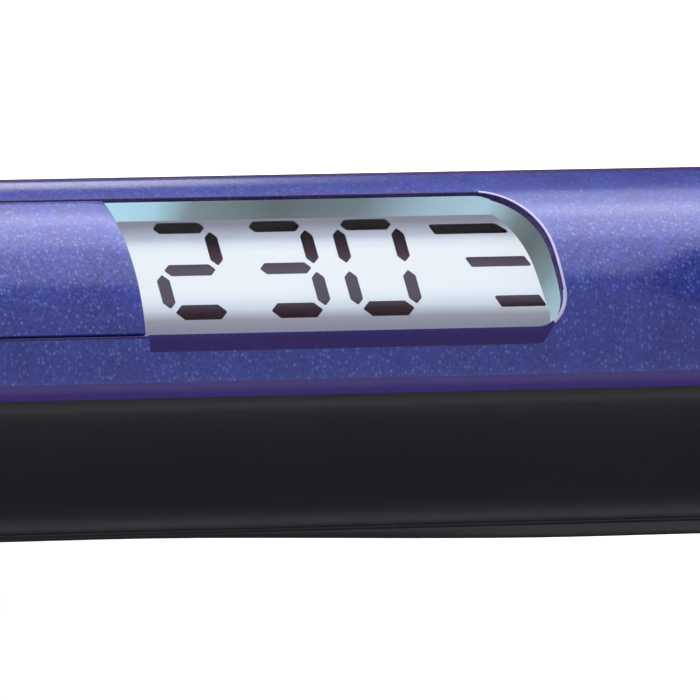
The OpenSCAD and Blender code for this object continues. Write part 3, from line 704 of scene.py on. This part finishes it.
strokes = {
    "a": level(HALF_H, 1.08), "g": level(0, 1.12), "d": level(-HALF_H, 1.5),
    "b": upright(HALF_W, CUT, HALF_H - CUT), "c": upright(HALF_W, CUT - HALF_H, -CUT),
    "f": upright(-HALF_W, CUT, HALF_H - CUT), "e": upright(-HALF_W, CUT - HALF_H, -CUT),
}
shapes = []
for cx, lit in DIGITS:
    shapes += [[(cx + x + SLANT * y, DIGIT_Y + y) for x, y in strokes[k]] for k in lit]
for mid, thick, xa, xb, slant in BARS:
    h = thick / 2
    shapes.append([(xa + 0.4, mid - h), (xb + slant, mid - h), (xb, mid + h), (xa, mid + h)])
shells = []
for shape in shapes:
    loop = clean(soften([(x, y, 0.16) for x, y in shape], 4), 0.5)
    shells.append(plate([loop], [(0, 0.06), (0, 0.01), (0.01, 0.0)], flat(LCD_Z + 0.07), 0.7, 0.5))
make("display_digits", *join(*shells), "handle", "ink", "display_ink", ["display_segments"])

# ---- collar, barrel and tip

def facing(local, direction, at):
    """Turns a local axis to a direction and puts the local origin at a point."""
    turn = Vector(local).rotation_difference(Vector(direction)).to_matrix().to_4x4()
    return Matrix.Translation(at) @ turn


def across_iron(x, z):
    """Puts a shape turned round its own x axis across the iron at (x, z)."""
    return facing((1, 0, 0), (0, 1, 0), (x, 0, z))


def rounded(top, bottom, thick, n=5):
    """Wall rings of a plate whose upper and lower edges are both rounded."""
    steps = [pi / 2 * i / n for i in range(n + 1)]
    return ([(bottom * (1 - sin(a)), thick - bottom * (1 - cos(a))) for a in steps]
            + [(top * (1 - cos(a)), top * (1 - sin(a))) for a in steps])


def on_side(half):
    """A side view in x and z, with depth running across from the near face."""
    return lambda x, z, depth: (x, depth - half, z)


def slab(outline, half, r, mid=0.0, holes=(), du=1.2):
    """A side view outline given a thickness of 2 half about y = mid, with rounded edges."""
    rings = {0: rounded(r, r, 2 * half)}
    rings.update({k + 1: rounded(0.08, 0.08, 2 * half) for k in range(len(holes))})
    shell = plate([clean(outline, 0.6)] + [h[::-1] for h in holes], rings, on_side(half), du, du)
    return moved(shell, Matrix.Translation((0, mid, 0)))


def screw(top, direction, head_r, head_h, shank_r, length):
    """A pan-head screw with a cross recess. top is the middle of its head."""
    arm, w = head_r * 0.56, head_r * 0.13
    cross = [(arm, -w), (arm, w), (w, w), (w, arm), (-w, arm), (-w, w),
             (-arm, w), (-arm, -w), (-w, -w), (-w, -arm), (w, -arm), (w, -w)]
    dome, step = head_h * 0.22, head_r * 0.2
    head = plate([circle(0, 0, head_r), clean(cross, step)[::-1]],
                 {0: rounded(head_h * 0.3, 0.03, head_h * 0.78), 1: [(0, head_h * 0.5), (0, 0.03), (-0.03, 0.0)]},
                 lambda u, v, d: (u, v, -d - dome * (u * u + v * v) / head_r ** 2), step, step, blind={1})
    foot, neck = -head_h - length, -head_h * 0.8
    shank = turned([(foot, 0), (foot + 0.4, shank_r), (neck, shank_r), (neck, 0)], 32)
    return join(moved(head, facing((0, 0, 1), direction, top)), moved(shank, facing((1, 0, 0), direction, top)))


def pin(x, z, y0, y1, r, head_r, head_y0=None, head_y1=None):
    """A pin across the iron with a domed head at y1, and at y0 too if it has a second head."""
    if head_y0 is None:
        profile = [(y0, 0.0), (y0, r)]
    else:
        profile = [(y0, 0.0), (y0, head_r * 0.55), (y0 + 0.3, head_r), (head_y0, head_r), (head_y0, r)]
    profile += [(head_y1, r), (head_y1, head_r), (y1 - 0.3, head_r), (y1, head_r * 0.55), (y1, 0.0)]
    last = len(profile) - 1
    soft = soften([(p, q, 0.12 if 0 < i < last and q > 0 else 0) for i, (p, q) in enumerate(profile)], 3)
    return moved(turned(soft, 48), across_iron(x, z))


neck = [(0.05, SEAT_R, 0), (0.05, 15.3, 0.2), (0.5, 15.8, 0.4),
        (2.0, 15.8, 0.4), (2.45, 15.3, 0.2), (2.45, SEAT_R, 0)]
make("neck_ring", *turned(soften(neck)), "handle", "chrome", "trim_chrome", ["trim_ring"])


FLAT_R = 3.75


def collar_shell():
    """The collar with a flat on each side for the stand's arms."""
    outline = soften([(2.5, SEAT_R, 0), (2.5, 15, 0.3), (21, 15, 6), (26, 14.2, 1.6),
                      (27, 13.4, 0.4), (27, SEAT_R, 0)], 8)
    verts, faces = turned(clean(outline, 0.3), 360)
    out = []
    for x, y, z in verts:
        d = hypot(x - STAND_X, z - STAND_Z) if x < STAND_X else abs(z - STAND_Z)
        flat_y = min(abs(y), STAND_FLAT)
        out.append((x, copysign(abs(y) + (flat_y - abs(y)) * ease((FLAT_R - d) / 0.35), y), z))
    return out, faces


boss_x = STAND_FLAT - 0.02
boss = turned(soften([(8, 0, 0), (8, 3.4, 0), (boss_x, 3.4, 0.3), (boss_x, 0, 0)]), 64)
bosses = [moved(boss, facing((1, 0, 0), (0, s, 0), (STAND_X, 0, STAND_Z))) for s in (-1, 1)]
make("neck_collar", *join(collar_shell(), *bosses), "handle", "black", "black_plastic", ["front_collar"])

tube_wall = [(-23.95, BORE_R, 0.1), (-23.95, BARREL_R, 0.2), (BARREL_LEN, BARREL_R, 0.3), (BARREL_LEN, BORE_R, 0.1)]
make("barrel_shell", *turned(soften(tube_wall)), "handle", "barrel", "barrel_coat", ["barrel_tube"])
ring = [(132.05, BORE_R, 0), (132.05, 12.9, 0.25), (134, 12.9, 0.4), (134.5, 12.4, 0.2), (134.5, BORE_R, 0)]
make("end_ring", *turned(soften(ring)), "handle", "chrome", "purple_ring", ["tip_ring"])
nose = [(134.6, 9.8, 0), (134.6, 12.2, 0.25), (136, 12.6, 0.6)]
nose += [(x, r, 0) for x, r in arc(143, 5, 9, 7.4, 84, 0, 22)]
nose += [(152, 3.1, 0.35), (149.6, 3.1, 0.1), (149.6, 1.6, 0), (146, 1.6, 0), (146, 6, 0), (142, 9.8, 0)]
make("end_cap", *turned(soften(nose)), "handle", "black", "heat_plastic", ["cool_tip"])
nose_screw = screw((151.4, 0, 0), (1, 0, 0), 2.8, 1.78, 1.5, 19)
make("end_screw", *nose_screw, "handle", "screw", "screw_steel", ["tip_screw"])

# ---- hinge, clamp and lever


def on_arc(radius):
    """Along the axis and round a cylinder by arc length."""
    return lambda x, s, depth: (x, (radius - depth) * sin(s / radius), (radius - depth) * cos(s / radius))


SADDLE_R = 16
saddle_loop = clean(round_box(5, 17, SADDLE_R * asin(10.6 / SADDLE_R), 2.4), 0.8)
saddle = plate([saddle_loop], rounded(0.3, 0.1, 0.97), on_arc(SADDLE_R), 1, 0.8)
ear = [(8.1, 14.4), (13.9, 14.4)] + arc(PX, PZ, 2.9, 2.9, 0, 180, 24)
ears = [slab(ear, 0.6, 0.18, s * 6.8, [circle(PX, PZ, 1.52, 32)]) for s in (-1, 1)]
make("hinge_saddle", *join(saddle, *ears), "handle", "steel", "clamp_steel", ["hinge_bracket"])

screws = []
for s in (-1, 1):
    out = Vector((0, s * sin(radians(34)), cos(radians(34))))
    screws.append(screw(Vector((PX, s * 8.4, 12)) + out * 3.75, out, 1.5, 0.7, 0.85, 1.8))
make("saddle_screws", *join(*screws), "handle", "screw", "screw_steel", ["bracket_screws"])
make("clamp_pin", *pin(PX, PZ, -8.4, 8.4, 1.49, 2.3, -7.45, 7.45), "handle", "screw", "screw_steel", ["hinge_pin"])


def tube(path, r, sides=12):
    """A round wire along a list of points."""
    path = [Vector(p) for p in path]
    verts, n = [], len(path)
    for i, p in enumerate(path):
        t = (path[min(i + 1, n - 1)] - path[max(i - 1, 0)]).normalized()
        u = t.cross(Vector((0, 1, 0)) if abs(t.y) < 0.9 else Vector((1, 0, 0))).normalized()
        v = t.cross(u)
        for k in range(sides):
            a = 2 * pi * k / sides
            verts.append(tuple(p + (u * cos(a) + v * sin(a)) * r))
    rows = [verts[i * sides:(i + 1) * sides] for i in range(n)]
    return strip(rows)


COIL_R, COIL_HALF, TURNS = 2.25, 3.2, 6


def coil(turn0, turn1, steps):
    """Points of the spring's coil, from one turn count to another."""
    points = []
    for t in np.linspace(turn0, turn1, steps):
        a = radians(200 + 360 * t)
        points.append((PX + COIL_R * cos(a), -COIL_HALF + 2 * COIL_HALF * t / TURNS, PZ + COIL_R * sin(a)))
    return points


# The ends that press on the bracket and on the clamp
fixed_end, moving_end = (PX - 5.4, COIL_HALF, PZ - 3.2), (PX - 7, -COIL_HALF, PZ + 0.3)
make("spring_coil", *tube(coil(0.0, TURNS, 145) + [fixed_end], 0.4), "handle", "spring", "spring_steel",
     ["torsion_spring"])
make("spring_leg", *tube([moving_end] + coil(0.0, 0.12, 6), 0.385), "clamp", "spring", "spring_steel")

BLADE_R = 13.7
plan = arc(121, 0, 10, 12.1, -90, 90, 32) + arc(40, 4, 11, 8.1, 90, 163, 12) + arc(40, -4, 11, 8.1, 197, 270, 12)
spread = [(x, BLADE_R * asin(y / BLADE_R)) for x, y in clean(plan, 1.0)]
blade = plate([spread], rounded(0.4, 0.25, 0.9), on_arc(BLADE_R), 1.6, 0.8)
make("clamp_blade", *blade, "clamp", "steel", "clamp_steel", ["clamp_plate"])

# The arm in side view: its crest, the lower edge of its sides, and the underside of its web
ARM, WALL, TAB_X = 5.8, 1.2, 29
arm_top = [(8.0, 22.3), (9.5, 22.75), (11, 22.9), (14, 22.9), (18, 22.4), (21, 21.4), (24, 20.2), (26.5, 18.9),
           (28.6, 17.0), (30, 15.7), (31.5, 14.98), (33, 14.9), (48, 14.9)]
arm_foot = [(8.0, 17.5), (13, 16.3), (26, 15.4), (28.5, 14.0), (29.5, 13.74), (48, 13.74)]
arm_roof = [(8.0, 21.4), (16, 21.2), (20, 18.4), (23, 17.6), (26, 15.42), (29, 13.75), (48, 13.75)]


def height(points, x):
    return float(np.interp(x, [p[0] for p in points], [p[1] for p in points]))


def on_blade(y):
    """Height of the clamp's outer face at y."""
    return sqrt(max(0, (BLADE_R + 0.02) ** 2 - y * y))


def channel():
    """The arm over the hinge: a channel that flattens into a tab along the clamp, with a round end."""
    end_x, end_r = 43.5, 4.5
    xs = [8 + 0.5 * i for i in range(75)] + [end_x + end_r * sin(radians(a)) for a in range(5, 91, 5)]
    rows = []
    for x in xs:
        if rows and x <= rows[-1][0][0] + 0.01:
            continue
        half = ARM if x < end_x else ARM - end_r + sqrt(max(0.0, end_r ** 2 - (x - end_x) ** 2))
        top, foot, roof = (height(p, x) for p in (arm_top, arm_foot, arm_roof))
        r = min(1.3, (top - foot) * 0.4)
        inner = half - WALL if roof > foot + 0.05 else half - 0.02
        low, inner_low = (foot, foot) if x <= TAB_X else (on_blade(half), on_blade(inner))
        right = [(half, min(low, top - r))] + arc(half - r, top - r, r, r, 0, 90, 6)
        web = [(y, roof if x <= TAB_X else on_blade(y)) for y in np.linspace(-inner, inner, 9)]
        ring = right + [(-y, z) for y, z in right[::-1]] + [(-inner, inner_low)] + web + [(inner, inner_low)]
        rows.append([(x, y, z) for y, z in ring])
    return strip(rows)


turn_open = Matrix.Translation((PX, 0, PZ)) @ Matrix.Rotation(OPEN, 4, "Y") @ Matrix.Translation((-PX, 0, -PZ))
tongue = [(-30, 16.92), (5, 16.92), (9, 17.6), (13, 18.2), (14, 20.5),
          (13, 21.3), (6, 21.2), (2, 18.08), (-30, 18.08)]
strap = moved(slab(tongue, ARM - 0.02, 0.3), turn_open)
cheek = soften([(-ARM, 1.56, 0), (-ARM, 2.9, 0.25), (-ARM + WALL, 2.9, 0), (-ARM + WALL, 1.56, 0)])
knuckle = moved(turned(cheek, 64), across_iron(PX, PZ))
other = moved(knuckle, Matrix.Translation((0, 2 * ARM - WALL, 0)))
make("clamp_channel", *join(channel(), strap, knuckle, other), "clamp", "steel", "clamp_steel", ["clamp_arm"])

rivet = turned(soften([(13.75, 0, 0), (13.75, 1.4, 0), (14.95, 1.4, 0), (14.95, 2.4, 0.1), (15.25, 2.3, 0.3),
                       (15.55, 1.5, 1), (15.65, 0, 0)]), 48)
rivets = [moved(rivet, facing((1, 0, 0), (0, 0, 1), (x, 0, 0))) for x in (35, 43)]
make("blade_rivets", *join(*rivets), "clamp", "screw", "screw_steel", ["clamp_rivets"])

LEVER_R, PAD_R = 20.4, 20.5
PAD_X, PAD_FLAT, PAD_END, RIB = -29.5, 4.0, 5.4, 0.4
lever = [(-16, -7.6)] + arc(-3, 0, 4.5, 6.6, -90, 90, 24) + [(-16, 7.6)] + arc(-33, 0, 9, 9, 90, 270, 40)
pad_hole = clean(round_box(-39, -20, 5.6, 5.5), 0.6)[::-1]
v, f = plate([clean(lever, 0.7), pad_hole], {0: rounded(1.5, 0.5, 4.05), 1: [(0, 0.6), (0, 0.12), (-0.12, 0)]},
             on_round(LEVER_R), 0.9, 0.6, blind={1})
make("lever_body", *moved((v, f), turn_open), "clamp", "black", "black_plastic", ["thumb_lever"])


def pad_lift(x, y):
    """Height of the pad's soft ribs, one every 3 mm."""
    across = ease((4.2 - abs(y)) / 0.8)
    return max(RIB * ease((1.0 - abs(x - rib)) / 0.6) * across for rib in np.arange(-35.5, -23, 3))


def pad_row(x):
    """A section of the pad: its ribbed face, with a soft edge, and its underside."""
    past = max(0.0, abs(x - PAD_X) - PAD_FLAT)
    end = PAD_END * sqrt(max(0.0, 1 - (past / PAD_END) ** 2))
    face, under = [], []
    for y in [end * sin(pi / 2 * t) for t in np.linspace(-1, 1, 33)]:
        near_edge = max(0.0, 1 - (end - abs(y)) / 0.3)
        drop = 0.2 * (1 - sqrt(max(0.0, 1 - near_edge ** 2)))
        face.append(on_round(PAD_R + pad_lift(x, y) - drop)(x, y, 0))
        under.append(on_round(PAD_R)(x, y, 0.62))
    return face + under[::-1]


rows = [pad_row(PAD_X + 9.39 * sin(pi / 2 * t)) for t in np.linspace(-1, 1, 121)]
make("lever_grip", *moved(strip(rows), turn_open), "clamp", "pad", "pad_rubber", ["lever_pad"])
heads = [screw((x, 0, 15.9), (0, 0, -1), 2.3, 0.85, 1.25, 2.3) for x in (-24, -14)]
make("lever_fixings", *moved(join(*heads), turn_open), "clamp", "screw", "screw_steel", ["lever_screws"])

# ---- stand, swivel and keys

low, high = (Vector(c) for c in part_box("stand_feet"))
SHOE_DOWN = 2.4
foot_mid = HOME.inverted() @ Vector(((low.x + high.x) / 2, 0, low.z + SHOE_DOWN * MM))
FX, FZ = 15.0, foot_mid.z / MM
leg = Vector((FX - STAND_X, FZ - STAND_Z))
way = leg.normalized()


def arm_point(along_leg, off):
    """A point of the stand's arm from its place along the leg and its distance off it."""
    return (STAND_X + way.x * along_leg - way.y * off, STAND_Z + way.y * along_leg + way.x * off)


# Round ends of the arm, and the half width between them
EYE_R, TOE_R, LEG_HALF = 3, 2.3, 1.9
a0, a1 = (degrees(asin(LEG_HALF / r)) for r in (EYE_R, TOE_R))
arm = arc(0, 0, EYE_R, EYE_R, a0, 360 - a0, 36) + arc(leg.length, 0, TOE_R, TOE_R, a1 - 180, 180 - a1, 24)
arm = [arm_point(x, y) for x, y in arm]
if sum(p[0] * q[1] - q[0] * p[1] for p, q in zip(arm, arm[1:] + arm[:1])) < 0:
    arm.reverse()
arms = [slab(arm, 0.75, 0.3, s * 13.45, [circle(STAND_X, STAND_Z, 1.56, 32)]) for s in (-1, 1)]
bar = moved(turned([(-13.3, 0), (-13.3, 1.69), (13.3, 1.69), (13.3, 0)], 40), across_iron(FX, FZ))
make("stand_legs", *join(*arms, bar), "stand", "steel", "clamp_steel", ["stand_frame"])

SHOE_HALF, SHOE_UP, UNDER_R, UPPER_R = 3, 2.2, 1.2, 1.6
block = (arc(SHOE_HALF - UNDER_R, UNDER_R - SHOE_DOWN, UNDER_R, UNDER_R, -90, 0, 8)
         + arc(SHOE_HALF - UPPER_R, SHOE_UP - UPPER_R, UPPER_R, UPPER_R, 0, 90, 10)
         + arc(UPPER_R - SHOE_HALF, SHOE_UP - UPPER_R, UPPER_R, UPPER_R, 90, 180, 10)
         + arc(UNDER_R - SHOE_HALF, UNDER_R - SHOE_DOWN, UNDER_R, UNDER_R, 180, 270, 8))
shoe_place = Matrix.Translation((FX, 0, FZ)) @ Matrix.Rotation(tilt, 4, "Y")
shoes = [moved(slab(block, 2.9, 0.4, s * 9.6, [circle(0, 0, 1.71, 32)]), shoe_place) for s in (-1, 1)]
make("stand_shoes", *join(*shoes), "stand", "rubber", "pad_rubber", ["stand_feet"])

stud = pin(0, 0, 9.4, 15, 1.49, 2.4, None, 14.35)
pins = [moved(stud, facing((0, 1, 0), (0, s, 0), (STAND_X, 0, STAND_Z))) for s in (-1, 1)]
make("stand_studs", *join(*pins), "handle", "screw", "screw_steel", ["stand_pins"])

ribs = []
for x in (-176.7, -175.1, -173.5, -171.9):
    r = float(np.interp(x, [-178, -177, -172, -168.4], [5, 5.8, 8, 8.6]))
    ribs += [(x - 0.35, r - 0.1, 0.15), (x - 0.15, r - 0.65, 0.1),
             (x + 0.25, r - 0.6, 0.1), (x + 0.45, r + 0.12, 0.15)]
bell = [(-178, 3.2, 0.15), (-178, 5, 0.4)] + ribs
bell += [(-168.4, 8.6, 0.25), (-168.4, 5.6, 0), (-163.6, 5.6, 0), (-163.6, 9, 0), (-161, 9, 0), (-161, 4.6, 0),
         (-154.2, 4.6, 0), (-154.2, 2, 0), (-162, 2, 0), (-162, 3.2, 0)]
make("cord_bell", *turned(soften(bell, 3)), "cord_swivel", "black", "black_plastic", ["swivel_rotor"])

fixings = [screw((x, 0, -12), (0, 0, -1), 2.7, 2.4, 1.35, 8.4) for x in CASE_SCREWS]
make("case_screws", *join(*fixings), "handle", "screw", "screw_steel", ["housing_screws"])

KEY_R = COVER_R + 0.35
for key, x in BUTTONS.items():
    v, f = plate([circle(x, 0, 3.7, 72)], rounded(0.45, 0.05, 2.4), on_round(KEY_R), 0.5, 0.5)
    make(key + "_cap", v, f, key + "_key", "key", "key_plastic", [key + "_button"])


def sign(name, shells):
    make(name + "_sign", *join(*shells), name + "_key", "mark", "key_mark", [name + "_mark"])


def inlay(loop):
    """A thin mark that stands a little proud of a key."""
    return plate([clean(loop, 0.3)], [(0, 0.055), (0, 0.01), (0.01, 0)], on_round(KEY_R + 0.07), 0.4, 0.4)


def stroke_box(x, y, hx, hy):
    corners = ((-hx, -hy), (hx, -hy), (hx, hy), (-hx, hy))
    return inlay(soften([(x + dx, y + dy, 0.12) for dx, dy in corners], 4))


power_x, plus_x, minus_x = BUTTONS.values()
GAP = 24  # degrees left open each side of the power sign's stroke
broken_ring = (arc(power_x, 0, 1.75, 1.75, 90 + GAP, 450 - GAP, 40)
               + arc(power_x, 0, 1.35, 1.35, 450 - GAP, 90 + GAP, 40))
sign("power", [stroke_box(power_x, 1.25, 0.2, 0.85), inlay(broken_ring)])
sign("plus", [stroke_box(plus_x, 0, 1.6, 0.22), stroke_box(plus_x, 0.92, 0.22, 0.68),
              stroke_box(plus_x, -0.92, 0.22, 0.68)])
sign("minus", [stroke_box(minus_x, 0, 1.6, 0.22)])

# ---- CAD nodes that keep their shape

KEPT = {
    "wall": "display_module", "board": "circuit_board", "chip": "board_parts tact_switches thermistor",
    "red": "heater_leads", "white": "sensor_leads", "blue": "mains_leads",
    "brass": "thermal_fuse contact_brushes slip_rings", "heat": "barrel_socket tip_sleeve",
    "ceramic": "heater_element", "alloy": "heat_spreader_upper heat_spreader_lower",
}
for mat, names in KEPT.items():
    for name in names.split():
        nodes[name].data.materials.clear()
        nodes[name].data.materials.append(MAT[mat])

# ---- floor, light and camera

# The camera looks SIDE degrees off square to the iron, LEAN degrees from above, turned by ROLL
turn = HOME.to_3x3()
SIDE, LEAN, ROLL = radians(28), radians(33.4), radians(1.3)
LENS, SENSOR, WIDE = 1200.0, 36.0, 60.3
AIM_X, AIM_UP = -72, 0.26
back = turn @ Vector((-sin(SIDE), -cos(SIDE) * sin(LEAN), cos(SIDE) * cos(LEAN)))
axis = turn @ Vector((1, 0, 0))
along = (axis - back * axis.dot(back)).normalized()
across = back.cross(along)
right = along * cos(ROLL) - across * sin(ROLL)
up = across * cos(ROLL) + along * sin(ROLL)
target = HOME @ (Vector((AIM_X, 0, 0)) * MM) + up * AIM_UP * MM


def put(name, data, place, x, z):
    """An object in the scene at a place, with its own x and z axes along two directions."""
    o = bpy.data.objects.new(name, data)
    scene.collection.objects.link(o)
    o.matrix_world = Matrix.Translation(place) @ Matrix((x, z.cross(x), z)).transposed().to_4x4()
    return o


cam = bpy.data.cameras.new("camera")
cam.lens = LENS
cam.sensor_width = SENSOR
cam.clip_start, cam.clip_end = 0.1, 50.0
scene.camera = put("camera", cam, target + back * (WIDE / SENSOR * LENS * MM), right, back)


# Directions round the iron: 0 degrees faces the camera, 90 is over the top
front = (back - axis * back.dot(axis)).normalized()


def round_axis(angle):
    return front * cos(radians(angle)) + across * sin(radians(angle))


def area(name, place, x, z, wide, tall, radiance):
    """A rectangular light of a given radiance, which the camera doesn't see."""
    light = bpy.data.lights.new(name, "AREA")
    light.shape = "RECTANGLE"
    light.size, light.size_y = wide, tall
    light.energy = radiance * pi * wide * tall
    put(name, light, place, x, z).visible_camera = False


def lamp(name, angle, half, radiance, distance=0.7, wide=2.2, shift=0.0):
    """A soft panel along the iron, so many degrees round it, that takes up half degrees of them each way."""
    z = round_axis(angle)
    place = target + (z + axis * tan(SIDE)) * distance + axis * shift
    area(name, place, axis, z, wide, 2 * distance * tan(radians(half)), radiance)


lamp("overhead", 76, 29, 1.5)
lamp("upper", 96, 22, 1.65)
lamp("ridge", 97, 4, 1.5)
lamp("behind", 143, 7, 1.9, wide=1.2, shift=-0.62)
lamp("front_fill", 5, 32, 0.32, distance=1.2)
lamp("low_front", -24, 7, 1.0, distance=1.0)

# A narrow light off to the rear end, which draws a line on edges turned that way
edge_on = round_axis(30) * cos(radians(40)) - axis * sin(radians(40))
side_ray = edge_on * (2 * edge_on.dot(back)) - back
area("edge_light", target + side_ray * 0.7, side_ray.cross(axis).normalized(), side_ray, 0.5, 0.16, 4.0)

world = bpy.data.worlds.new("world")
scene.world = world
world.use_nodes = True
wt = world.node_tree
for n in list(wt.nodes):
    wt.nodes.remove(n)


def sky_toward(way):
    """How nearly each direction of the sky points one way, as a cosine."""
    ray = add(wt, "TexCoord").outputs["Generated"]
    return add(wt, "VectorMath", operation="DOT_PRODUCT", in_0=ray, in_1=way).outputs["Value"]


up_down = add(wt, "MapRange", in_0=sky_toward((0, 0, 1)), in_1=-1.0, in_2=1.0).outputs[0]
sky = ramp(wt, up_down, [(0.0, 0.01), (0.3, 0.02), (0.45, 0.05), (0.6, 0.17), (1.0, 0.25)])
# A patch of light under the iron, which its lower edge mirrors
below = (round_axis(-134) * cos(SIDE) + axis * sin(SIDE)).normalized()
patch = ramp(wt, sky_toward(below), [(cos(radians(9)), 0.0), (cos(radians(3)), 0.4)])
# The room is paler towards the rear end
paler = ramp(wt, sky_toward(-axis), [(0.0, 0.0), (0.5, 0.2)])
lit = mix(wt, 1.0, mix(wt, 1.0, sky, patch, "ADD"), paler, "ADD")
felt = add(wt, "Background", in_Color=lit, in_Strength=1.0)
# The camera itself sees plain white behind the iron
seen = add(wt, "Background", in_Color=(1, 1, 1, 1), in_Strength=1.0)
camera_ray = add(wt, "LightPath").outputs["Is Camera Ray"]
pick = add(wt, "MixShader", in_0=camera_ray, in_1=felt.outputs[0], in_2=seen.outputs[0])
wt.links.new(pick.outputs[0], wt.nodes.new("ShaderNodeOutputWorld").inputs["Surface"])

FLOOR = 6
me = bpy.data.meshes.new("floor")
me.from_pydata([(-FLOOR, -FLOOR, 0), (FLOOR, -FLOOR, 0), (FLOOR, FLOOR, 0), (-FLOOR, FLOOR, 0)], [], [(0, 1, 2, 3)])
ground = bpy.data.objects.new("floor", me)
scene.collection.objects.link(ground)
fm, _, fb = start("floor_white", Roughness=0.9, Specular_IOR_Level=0.1, Emission_Strength=0.75)
fb.inputs["Base Color"].default_value = (0.85, 0.85, 0.86, 1)
fb.inputs["Emission Color"].default_value = (1, 1, 1, 1)
me.materials.append(fm)
ground.visible_glossy = False

view = scene.view_settings
view.view_transform = "Standard"
view.look = "None"
